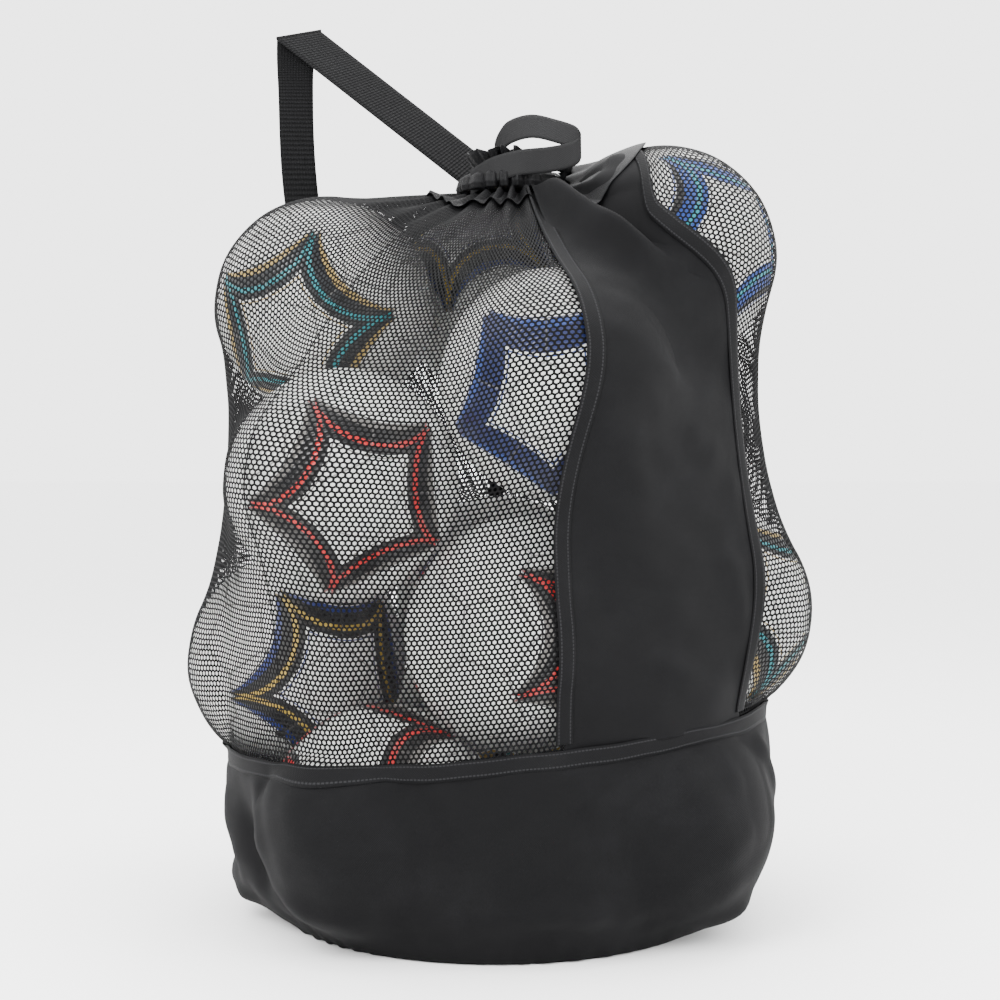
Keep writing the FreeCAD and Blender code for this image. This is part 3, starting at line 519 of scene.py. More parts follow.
def finish_piece(piece: bpy.types.Object, body: str, slot: str, finish: "Finish", *nodes: str) -> None:
    """Dress a piece, hang it on its body and hide the CAD nodes that it stands for.

    Args:
        piece: the piece.
        body: the body that it rides on.
        slot: not used.
        finish: its finish.
        nodes: the CAD nodes that it replaces.
    """
    piece.data.materials.append(finish.material())
    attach(piece, body)
    if nodes:
        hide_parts(*nodes)
    log.info("%s: %d faces", piece.name, len(piece.data.polygons))


# ------------------------------------------------------------------ node helpers


class Graph:
    """Short ways to add and join shader nodes in a tree."""

    def __init__(self, tree: bpy.types.NodeTree) -> None:
        """Keep the tree that nodes are added to."""
        self.tree = tree

    def node(self, kind: str, inputs: dict | None = None, **settings: object) -> bpy.types.Node:
        """Add a node.

        Args:
            kind: the node's type.
            inputs: a socket to join or a value to set, for each input's name or number.
            settings: the node's properties.

        Returns:
            The new node.
        """
        made = self.tree.nodes.new(kind)
        for name, value in settings.items():
            setattr(made, name, value)
        for key, value in (inputs or {}).items():
            if isinstance(value, bpy.types.NodeSocket):
                self.tree.links.new(value, made.inputs[key])
            else:
                made.inputs[key].default_value = value
        return made

    def math(self, operation: str, *values: object) -> bpy.types.NodeSocket:
        """Result of a Math node on numbers or sockets."""
        return self.node("ShaderNodeMath", dict(enumerate(values)), operation=operation).outputs[0]

    def mix(self, factor: object, first: object, second: object) -> bpy.types.NodeSocket:
        """Blend of two colours."""
        made = self.node("ShaderNodeMix", {0: factor, 6: first, 7: second}, data_type="RGBA")
        return made.outputs[2]

    def ramp(self, value: bpy.types.NodeSocket, low: float, high: float) -> bpy.types.NodeSocket:
        """Smooth 0 to 1 as a value goes from low to high."""
        made = self.node("ShaderNodeMapRange", {0: value, 1: low, 2: high}, interpolation_type="SMOOTHSTEP")
        return made.outputs[0]


def shader_group(name: str, inputs: Sequence[tuple[str, str, float]], outputs: Sequence[tuple[str, str]],
                 build: Callable[[Graph, dict, dict], None]) -> bpy.types.NodeTree:
    """Shared effect as a node group, made once.

    Args:
        name: the group's name.
        inputs: name, socket type and default value of each input.
        outputs: name and socket type of each output.
        build: adds the nodes, from input sockets to output sockets.

    Returns:
        The group's node tree.
    """
    if name in bpy.data.node_groups:
        return bpy.data.node_groups[name]
    tree = bpy.data.node_groups.new(name, "ShaderNodeTree")
    for label, kind, value in inputs:
        socket = tree.interface.new_socket(name=label, in_out="INPUT", socket_type=kind)
        if kind == "NodeSocketFloat":
            socket.default_value = value
    for label, kind in outputs:
        tree.interface.new_socket(name=label, in_out="OUTPUT", socket_type=kind)
    graph = Graph(tree)
    start, end = tree.nodes.new("NodeGroupInput"), tree.nodes.new("NodeGroupOutput")
    results: dict = {}
    build(graph, {s.name: s for s in start.outputs if s.name}, results)
    for label, socket in results.items():
        tree.links.new(socket, end.inputs[label])
    return tree


def weave_group() -> bpy.types.NodeTree:
    """Plain weave: threads over and under each other, with slubs.

    Returns:
        The group, from a vector in metres to a height and a mask.
    """

    def build(graph: Graph, given: dict, out: dict) -> None:
        """Add the weave's nodes.

        Args:
            graph: the group's nodes.
            given: its input sockets.
            out: takes its results.
        """
        parts = graph.node("ShaderNodeSeparateXYZ", {0: given["Vector"]})
        across = graph.math("MULTIPLY", parts.outputs[0], given["Threads"])
        along = graph.math("MULTIPLY", parts.outputs[1], given["Threads"])
        a = graph.math("SINE", graph.math("MULTIPLY", across, math.pi))
        b = graph.math("SINE", graph.math("MULTIPLY", along, math.pi))
        crossing = graph.math("MULTIPLY", a, b)
        slub = graph.node("ShaderNodeTexNoise", {"Vector": given["Vector"], "Scale": 900.0, "Detail": 2.0})
        height = graph.math("ADD", graph.math("MULTIPLY", crossing, 0.5),
                            graph.math("MULTIPLY", slub.outputs[0], given["Slubs"]))
        out["Height"] = height
        out["Mask"] = graph.ramp(height, -0.4, 0.9)

    inputs = [("Vector", "NodeSocketVector", 0.0), ("Threads", "NodeSocketFloat", 900.0),
              ("Slubs", "NodeSocketFloat", 0.6)]
    outputs = [("Height", "NodeSocketFloat"), ("Mask", "NodeSocketFloat")]
    return shader_group("Plain weave", inputs, outputs, build)


def rub_group() -> bpy.types.NodeTree:
    """Dust and rubbing: soft patches where a dark cloth has gone a little paler.

    Returns:
        The group, from a vector in metres to a mask and a broad noise.
    """

    def build(graph: Graph, given: dict, out: dict) -> None:
        """Add the patches' nodes.

        Args:
            graph: the group's nodes.
            given: its input sockets.
            out: takes its results.
        """
        broad = graph.node("ShaderNodeTexNoise", {"Vector": given["Vector"], "Scale": given["Scale"],
                                                  "Detail": 5.0, "Roughness": 0.6})
        fine = graph.node("ShaderNodeTexNoise", {"Vector": given["Vector"], "Scale": 420.0, "Detail": 3.0})
        patches = graph.ramp(broad.outputs[0], 0.42, 0.75)
        out["Mask"] = graph.math("MULTIPLY", patches, graph.math("ADD", fine.outputs[0], 0.2))
        out["Broad"] = broad.outputs[0]

    inputs = [("Vector", "NodeSocketVector", 0.0), ("Scale", "NodeSocketFloat", 9.0)]
    outputs = [("Mask", "NodeSocketFloat"), ("Broad", "NodeSocketFloat")]
    return shader_group("Rubbing", inputs, outputs, build)


def stitch_group() -> bpy.types.NodeTree:
    """Two rows of stitches along a strip, from its UV map in metres.

    Returns:
        The group, from a UV map in metres to a mask.
    """

    def build(graph: Graph, given: dict, out: dict) -> None:
        """Add the stitches' nodes.

        Args:
            graph: the group's nodes.
            given: its input sockets.
            out: takes its results.
        """
        parts = graph.node("ShaderNodeSeparateXYZ", {0: given["Vector"]})
        side = graph.math("ABSOLUTE", graph.math("SUBTRACT", parts.outputs[0], given["Middle"]))
        off = graph.math("ABSOLUTE", graph.math("SUBTRACT", side, given["Spread"]))
        line = graph.math("SUBTRACT", 1.0, graph.ramp(off, 0.0004, 0.0009))
        phase = graph.math("FRACT", graph.math("DIVIDE", parts.outputs[1], 0.0035))
        dash = graph.math("MULTIPLY", graph.ramp(phase, 0.05, 0.2),
                          graph.math("SUBTRACT", 1.0, graph.ramp(phase, 0.75, 0.9)))
        out["Mask"] = graph.math("MULTIPLY", line, dash)

    inputs = [("Vector", "NodeSocketVector", 0.0), ("Middle", "NodeSocketFloat", 0.0075),
              ("Spread", "NodeSocketFloat", 0.005)]
    return shader_group("Stitches", inputs, [("Mask", "NodeSocketFloat")], build)


# ------------------------------------------------------------------ finishes


class Coordinates(Enum):
    """Where a material reads its pattern from."""

    OBJECT = "Object"
    UV = "UV"


@dataclass(frozen=True)
class Finish:
    """A material with a name, made once."""

    name: str

    def material(self) -> bpy.types.Material:
        """Make the material, or find it if it is made.

        Returns:
            The material.
        """
        if self.name in bpy.data.materials:
            return bpy.data.materials[self.name]
        made = bpy.data.materials.new(self.name)
        made.use_nodes = True
        graph = Graph(made.node_tree)
        self.build(graph, made.node_tree.nodes["Principled BSDF"])
        return made

    def build(self, graph: Graph, shader: bpy.types.Node) -> None:
        """Add the finish's nodes to the shader."""
        raise NotImplementedError

    def group(self, graph: Graph, tree: bpy.types.NodeTree, inputs: dict) -> bpy.types.Node:
        """Place a shared effect."""
        return graph.node("ShaderNodeGroup", inputs, node_tree=tree)

    def bump(self, graph: Graph, shader: bpy.types.Node, height: bpy.types.NodeSocket, distance: float,
             strength: float = 1.0) -> None:
        """Join a height to the shader's normal."""
        made = graph.node("ShaderNodeBump", {"Height": height, "Distance": distance, "Strength": strength})
        graph.tree.links.new(made.outputs[0], shader.inputs["Normal"])

    def source(self, graph: Graph, kind: Coordinates) -> bpy.types.NodeSocket:
        """Object or UV coordinates."""
        return graph.node("ShaderNodeTexCoord").outputs[kind.value]


@dataclass(frozen=True)
class ClothFinish(Finish):
    """Woven cloth, coated or not, with rubbing and an optional pair of stitch rows."""

    colour: tuple[float, float, float] = (0.0020, 0.0020, 0.0023)
    rubbed: tuple[float, float, float] = (0.0050, 0.0050, 0.0055)
    threads: float = 1300.0
    depth: float = 0.0002
    roughness: float = 0.72
    coordinates: Coordinates = Coordinates.UV
    stitched: bool = False
    crease: float = 0.0
    gloss: float = 0.07

    def build(self, graph: Graph, shader: bpy.types.Node) -> None:
        """Weave in the normal, rubbing and stitches in the colour.

        Args:
            graph: the material's nodes.
            shader: its Principled BSDF.
        """
        where = self.source(graph, self.coordinates)
        weave = self.group(graph, weave_group(), {"Vector": where, "Threads": self.threads})
        rub = self.group(graph, rub_group(), {"Vector": where})
        amount = graph.math("MULTIPLY", rub.outputs["Mask"], graph.math("ADD", weave.outputs["Mask"], 0.35))
        colour = graph.mix(amount, (*self.colour, 1), (*self.rubbed, 1))
        height = weave.outputs["Height"]
        if self.crease:
            folds = graph.node("ShaderNodeTexNoise", {"Vector": where, "Scale": 38.0, "Detail": 4.0,
                                                      "Distortion": 1.2})
            height = graph.math("ADD", height, graph.math("MULTIPLY", folds.outputs[0], self.crease))
        if self.stitched:
            stitches = self.group(graph, stitch_group(), {"Vector": where})
            colour = graph.mix(stitches.outputs["Mask"], colour, (0.012, 0.012, 0.013, 1))
            height = graph.math("ADD", height, graph.math("MULTIPLY", stitches.outputs["Mask"], 2.5))
        graph.tree.links.new(colour, shader.inputs["Base Color"])
        rough = graph.math("ADD", self.roughness - 0.08, graph.math("MULTIPLY", rub.outputs["Broad"], 0.16))
        graph.tree.links.new(rough, shader.inputs["Roughness"])
        shader.inputs["Specular IOR Level"].default_value = self.gloss
        self.bump(graph, shader, height, self.depth)


@dataclass(frozen=True)
class WebbingFinish(Finish):
    """Ribbed webbing: cords across the strap, herringbone between them."""

    colour: tuple[float, float, float] = (0.0014, 0.0014, 0.0016)
    # Colour of the paler rib crests: a painted highlight all over the strap, stronger where rubbing patches
    # lie.
    rubbed: tuple[float, float, float] = (0.0085, 0.0085, 0.0095)
    rib: float = 0.0024
    depth: float = 0.0006

    def build(self, graph: Graph, shader: bpy.types.Node) -> None:
        """Ribs in the normal and the colour, with the rib crests paler as a painted highlight and as
        rubbing, following the strap's UV map.

        Args:
            graph: the material's nodes.
            shader: its Principled BSDF.
        """
        where = self.source(graph, Coordinates.UV)
        parts = graph.node("ShaderNodeSeparateXYZ", {0: where})
        rows = graph.math("SINE", graph.math("MULTIPLY", parts.outputs[1], math.tau / self.rib))
        lines = graph.math("SINE", graph.math("MULTIPLY", parts.outputs[0], math.tau / (self.rib * 1.6)))
        tilt = graph.math("ADD", parts.outputs[0], graph.math("MULTIPLY", parts.outputs[1], 0.7))
        twill = graph.math("SINE", graph.math("MULTIPLY", tilt, math.tau / (self.rib * 0.5)))
        height = graph.math("ADD", graph.math("MULTIPLY", rows, 0.6),
                            graph.math("ADD", graph.math("MULTIPLY", lines, 0.35),
                                       graph.math("MULTIPLY", twill, 0.2)))
        rub = self.group(graph, rub_group(), {"Vector": where})
        # Painted highlight: rib crests are paler everywhere, and paler still in the rubbed patches, where
        # it is wear.
        crest_highlight_and_wear = graph.math("MULTIPLY", graph.ramp(height, -0.2, 1.1),
                          graph.math("ADD", rub.outputs["Mask"], 0.5))
        colour = graph.mix(crest_highlight_and_wear, (*self.colour, 1), (*self.rubbed, 1))
        graph.tree.links.new(colour, shader.inputs["Base Color"])
        shader.inputs["Roughness"].default_value = 0.62
        shader.inputs["Specular IOR Level"].default_value = 0.09
        self.bump(graph, shader, height, self.depth)


@dataclass(frozen=True)
class NetFinish(Finish):
    """Knitted polyester yarn."""

    colour: tuple[float, float, float] = (0.0012, 0.0012, 0.0014)
    rubbed: tuple[float, float, float] = (0.0045, 0.0045, 0.005)

    def build(self, graph: Graph, shader: bpy.types.Node) -> None:
        """Twist in the normal, a little unevenness in the colour.

        Args:
            graph: the material's nodes.
            shader: its Principled BSDF.
        """
        where = self.source(graph, Coordinates.OBJECT)
        twist = graph.node("ShaderNodeTexNoise", {"Vector": where, "Scale": 1500.0, "Detail": 2.0})
        rub = self.group(graph, rub_group(), {"Vector": where})
        colour = graph.mix(rub.outputs["Mask"], (*self.colour, 1), (*self.rubbed, 1))
        graph.tree.links.new(colour, shader.inputs["Base Color"])
        rough = graph.math("ADD", 0.5, graph.math("MULTIPLY", twist.outputs[0], 0.2))
        graph.tree.links.new(rough, shader.inputs["Roughness"])
        shader.inputs["Specular IOR Level"].default_value = 0.06
        self.bump(graph, shader, twist.outputs[0], 0.0003)


@dataclass(frozen=True)
class PlainFinish(Finish):
    """Moulded plastic, rubber or metal with a fine surface."""

    colour: tuple[float, float, float] = (0.005, 0.005, 0.0055)
    worn: tuple[float, float, float] = (0.02, 0.02, 0.021)
    roughness: float = 0.4
    metallic: float = 0.0
    grain: float = 900.0
    depth: float = 0.0001

    def build(self, graph: Graph, shader: bpy.types.Node) -> None:
        """Grain in the normal and rubbing in the colour.

        Args:
            graph: the material's nodes.
            shader: its Principled BSDF.
        """
        where = self.source(graph, Coordinates.OBJECT)
        grain = graph.node("ShaderNodeTexNoise", {"Vector": where, "Scale": self.grain, "Detail": 3.0})
        rub = self.group(graph, rub_group(), {"Vector": where, "Scale": 60.0})
        graph.tree.links.new(graph.mix(rub.outputs["Mask"], (*self.colour, 1), (*self.worn, 1)),
                             shader.inputs["Base Color"])
        rough = graph.math("ADD", self.roughness - 0.06, graph.math("MULTIPLY", rub.outputs["Broad"], 0.14))
        graph.tree.links.new(rough, shader.inputs["Roughness"])
        shader.inputs["Metallic"].default_value = self.metallic
        self.bump(graph, shader, grain.outputs[0], self.depth)


class Stripe(Enum):
    """Inks of the printed curves on a ball: their body, their bright line and their trim."""

    RED = ((0.006, 0.006, 0.007), (0.55, 0.008, 0.008), (0.16, 0.15, 0.14))
    GOLD = ((0.006, 0.006, 0.007), (0.50, 0.34, 0.05), (0.015, 0.03, 0.17))
    TEAL = ((0.005, 0.008, 0.012), (0.0, 0.24, 0.28), (0.42, 0.29, 0.08))
    NAVY = ((0.008, 0.018, 0.10), (0.008, 0.018, 0.10), (0.02, 0.06, 0.28))
    BLUE = ((0.006, 0.05, 0.30), (0.0, 0.28, 0.34), (0.006, 0.006, 0.007))


@dataclass(frozen=True)
class BallFinish(Finish):
    """White synthetic leather, printed with a plain five-sided ring of curves at two poles.

    The mesh carries each point's direction from the ball's middle, turned as the ball
    has rolled, and how deep it lies in a seam. Each curve is an arc round one of five
    points that stand about each pole, broad in its middle and fine at its ends.
    """

    stripe: Stripe = Stripe.RED
    petal_tilt: float = 58.0
    petal_size: float = 28.9

    def build(self, graph: Graph, shader: bpy.types.Node) -> None:
        """Curved bands from the direction, painted shade in the seams, pebbles in the normal.

        Args:
            graph: the material's nodes.
            shader: its Principled BSDF.
        """
        colour = self._print(graph)
        # Painted shade: the leather turns dark grey as a point lies deeper in a seam groove.
        seam = graph.node("ShaderNodeAttribute", attribute_name="seam").outputs["Fac"]
        colour = graph.mix(graph.math("MULTIPLY", graph.ramp(seam, 0.35, 1.0), 0.8), colour,
                           (0.10, 0.095, 0.09, 1))
        where = self.source(graph, Coordinates.OBJECT)
        rub = self.group(graph, rub_group(), {"Vector": where, "Scale": 14.0})
        scuffed = graph.math("MULTIPLY", rub.outputs["Mask"], 0.18)
        colour = graph.mix(scuffed, colour, (0.45, 0.42, 0.37, 1))
        graph.tree.links.new(colour, shader.inputs["Base Color"])
        pebbles = graph.node("ShaderNodeTexVoronoi", {"Vector": where, "Scale": 520.0})
        rough = graph.math("ADD", 0.34, graph.math("MULTIPLY", rub.outputs["Broad"], 0.16))
        graph.tree.links.new(rough, shader.inputs["Roughness"])
        shader.inputs["Coat Weight"].default_value = 0.15
        self.bump(graph, shader, pebbles.outputs["Distance"], 0.0003, 0.5)

    def _print(self, graph: Graph) -> bpy.types.NodeSocket:
        """Colour of the leather with its printed curves.

        Args:
            graph: the material's nodes.

        Returns:
            The colour's socket.
        """
        turned = graph.node("ShaderNodeAttribute", attribute_name="turned").outputs["Vector"]
        parts = graph.node("ShaderNodeSeparateXYZ", {0: turned})
        height = graph.math("ABSOLUTE", parts.outputs[2])
        level = graph.node("ShaderNodeVectorMath", {0: graph.node("ShaderNodeCombineXYZ", {
            0: parts.outputs[0], 1: parts.outputs[1]}).outputs[0]}, operation="LENGTH").outputs["Value"]
        turn = graph.math("ARCTAN2", parts.outputs[1], parts.outputs[0])
        folded = graph.math("PINGPONG", turn, math.pi / 5)
        reach = graph.math("MULTIPLY", level, graph.math("COSINE", folded))
        tilt = math.radians(self.petal_tilt)
        near = graph.math("ADD", graph.math("MULTIPLY", reach, math.sin(tilt)),
                          graph.math("MULTIPLY", height, math.cos(tilt)))
        off = graph.math("SUBTRACT", near, math.cos(math.radians(self.petal_size)))
        swell = graph.ramp(height, 0.44, 0.82)
        body, bright, trim = (tuple((*c, 1)) for c in self.stripe.value)
        colour: object = (0.83, 0.83, 0.81, 1)
        bands = ((0.052, 0.084, trim), (0.088, 0.095, body), (-0.050, 0.054, body), (-0.018, 0.006, bright),
                 (-0.070, -0.063, trim))
        for low, high, ink in bands:
            start = graph.math("SUBTRACT", off, graph.math("MULTIPLY", swell, low))
            stop = graph.math("SUBTRACT", graph.math("MULTIPLY", swell, high), off)
            inside = graph.math("MULTIPLY", graph.ramp(start, -0.0012, 0.0012),
                                graph.ramp(stop, -0.0012, 0.0012))
            shown = graph.math("MULTIPLY", inside, graph.ramp(height, 0.47, 0.53))
            colour = graph.mix(shown, colour, ink)
        return colour


OXFORD = ClothFinish("Coated oxford cloth", crease=0.7)
CUP_CLOTH = ClothFinish("Cup cloth", colour=(0.0018, 0.0018, 0.0021), crease=1.4)
BINDING = ClothFinish("Seam binding", threads=900.0, roughness=0.7, stitched=True)
NYLON = ClothFinish("Gathered nylon", colour=(0.0020, 0.0020, 0.0024), rubbed=(0.0050, 0.0050, 0.0056),
                    threads=1800.0, roughness=0.48, crease=1.6, gloss=0.10)
HANDLE_BAND = ClothFinish("Handle band", colour=(0.0025, 0.0025, 0.0028), threads=1000.0, roughness=0.6,
                          gloss=0.12)
STRAP_WEBBING = WebbingFinish("Strap webbing")
YARN = NetFinish("Net yarn")
PIPING = ClothFinish("Corded edge", threads=1000.0, coordinates=Coordinates.OBJECT)
BASE_CLOTH = ClothFinish("Base cloth", threads=1300.0, coordinates=Coordinates.OBJECT)
CORD_BRAID = ClothFinish("Draw cord braid", threads=1400.0, coordinates=Coordinates.OBJECT, depth=0.0005)
LOCK_PLASTIC = PlainFinish("Cord lock plastic", roughness=0.36)
VALVE_RUBBER = PlainFinish("Valve rubber", colour=(0.006, 0.006, 0.006), roughness=0.7)
NICKEL = PlainFinish("Nickel eyelet", colour=(0.55, 0.55, 0.57), worn=(0.35, 0.34, 0.33), roughness=0.22,
                     metallic=1.0)
SPRING_STEEL = PlainFinish("Spring steel", colour=(0.5, 0.5, 0.5), worn=(0.3, 0.3, 0.3), roughness=0.3,
                           metallic=1.0)


# ------------------------------------------------------------------ the bag's pieces


PANEL_LEFT = ((0.0, 14.0), (0.3, 13.5), (0.6, 20.0), (1.0, 17.0))
PANEL_RIGHT = ((0.0, 60.0), (0.25, 67.0), (0.6, 68.0), (0.8, 59.0), (0.92, 84.0), (1.0, 104.0))
BACK_SEAM = 180.0


def edge(table: Sequence[tuple[float, float]], share: Array) -> Array:
    """Bearing of a panel's edge.

    Args:
        table: pairs of share and bearing, from the rim up.
        share: shares of the wall's height.

    Returns:
        The bearing at each share.
    """
    result = np.full(np.shape(share), table[0][1], float)
    for (x0, y0), (x1, y1) in zip(table, table[1:]):
        inside = share >= x0
        result = np.where(inside, y0 + (y1 - y0) * ease((share - x0) / (x1 - x0)), result)
    return result


@dataclass
class Pleats:
    """Gathers that run out from the collar into the wall."""

    count: int = 23
    depth: float = 0.011
    start: float = 0.76

    def lift(self, bearing: Array, share: Array) -> Array:
        """How far the gathered cloth stands out.

        Args:
            bearing: degrees round the bag.
            share: share of the wall's height.

        Returns:
            The height of the gathers.
        """
        turn = np.radians(bearing)
        phase = self.count * turn + 1.3 * np.sin(2 * turn + 0.4) + 0.9 * np.sin(5 * turn)
        rise = ease((share - self.start) / (1 - self.start)) ** 1.6
        uneven = 0.7 + 0.3 * np.sin(3 * turn + 1.0)
        return self.depth * rise * uneven * (0.5 + 0.5 * np.cos(phase))


@dataclass
class Net:
    """Open net of six-sided holes, laid on the wall between two upright edges."""

    skin: Skin
    pleats: Pleats
    pitch: float = 0.0054
    yarn: float = 0.0021
    crown: float = 0.0007
    row_share: float = 0.866

    @property
    def row(self) -> float:
        """Height of a row of holes."""
        return self.pitch * self.row_share

    def build(self, name: str, node: str, left: Callable[[Array], Array],
              right: Callable[[Array], Array]) -> bpy.types.Object:
        """Make one piece of net.

        Args:
            name: the piece's name.
            node: the CAD node that it stands for.
            left: bearing of the left edge at a share of the height.
            right: bearing of the right edge.

        Returns:
            The finished piece.
        """
        width = self._span(left, right, 0.35)
        height = float(self.skin.lengths[Zone.WALL].mean())
        columns = 2 * round(width / self.pitch)
        rows = 2 * round(height / self.row / 2)
        shares = np.linspace(0, 1, 25)
        spans = [self._span(left, right, share) / width for share in shares]
        bm = self._holes(columns, rows, lambda v: float(np.interp(v, shares, spans)))
        crest = np.array([v.co.z for v in bm.verts])

        def place(u: Array, v: Array) -> Array:
            """Lay the net on the wall.

            Args:
                u: share across.
                v: share up.

            Returns:
                The points.
            """
            bearing = left(v) + (right(v) - left(v)) * u
            x, y = np.radians(bearing) * 0.27, v * height
            lift = 0.0006 + self.pleats.lift(bearing, v) + 0.0006 * ripple(x, y, 0.05, 5) + crest
            return self.skin.place(bearing, v, Zone.WALL, lift)

        lay_flat(bm, place, (width, height))
        piece = new_piece(name, bm)
        finish_piece(piece, "bag", "net", YARN, node)
        return piece

    def _span(self, left: Callable[[Array], Array], right: Callable[[Array], Array], share: float) -> float:
        """Measure the cloth between the two edges.

        Args:
            left: bearing of the left edge at a share of the height.
            right: bearing of the right edge.
            share: where to measure.

        Returns:
            The distance along the cloth.
        """
        ends = np.linspace(left(np.array([share]))[0], right(np.array([share]))[0], 60)
        line = self.skin.place(ends, np.full(60, share), Zone.WALL)
        return float(np.linalg.norm(np.diff(line, axis=0), axis=1).sum())

    def _holes(self, columns: int, rows: int, squeeze: Callable[[float], float]) -> bmesh.types.BMesh:
        """Flat net in the unit square: six-sided holes with a rim of yarn round each.

        Args:
            columns: half holes across.
            rows: holes up.
            squeeze: how narrow the net is gathered at a share of its height. The holes
                close up there, because the yarn stays as thick as it is.

        Returns:
            The net, with the height of the yarn as its vertices' third number.
        """
        bm = bmesh.new()
        bmesh.ops.create_grid(bm, x_segments=columns, y_segments=rows, size=0.5)
        bm.verts.ensure_lookup_table()

        def cell(value: float, count: int) -> int:
            """Number of a grid line."""
            return round((value + 0.5) * count)

        doomed = []
        for e in bm.edges:
            first, second = e.verts
            i, k = cell(first.co.x, columns), cell(second.co.x, columns)
            row = min(cell(first.co.y, rows), cell(second.co.y, rows))
            if i == k and 0 < i < columns and (i + row) % 2:
                doomed.append(e)
        for v in bm.verts:
            i, j = cell(v.co.x, columns), cell(v.co.y, rows)
            if 0 < j < rows:
                v.co.y += (1 if (i + j) % 2 == 0 else -1) / (6 * rows)
        bmesh.ops.dissolve_edges(bm, edges=doomed, use_verts=False)
        for v in bm.verts:
            v.co.x *= columns * self.pitch / 2
            v.co.y *= rows * self.row
        rims = bmesh.ops.inset_individual(bm, faces=bm.faces[:], thickness=self.yarn / 2,
                                          depth=-self.crown, use_even_offset=True)["faces"]
        keep = set(rims)
        for hole in (f for f in bm.faces if f not in keep):
            middle = hole.calc_center_median()
            part = squeeze(middle.y / (rows * self.row) + 0.5)
            wide = (self.pitch - self.yarn / part) / (self.pitch - self.yarn)
            for v in hole.verts:
                v.co.x = middle.x + (v.co.x - middle.x) * min(max(wide, 0.12), 1.05)
        bmesh.ops.delete(bm, geom=[f for f in bm.faces if f not in keep], context="FACES")
        for v in bm.verts:
            v.co.x /= columns * self.pitch / 2
            v.co.y /= rows * self.row
        return bm


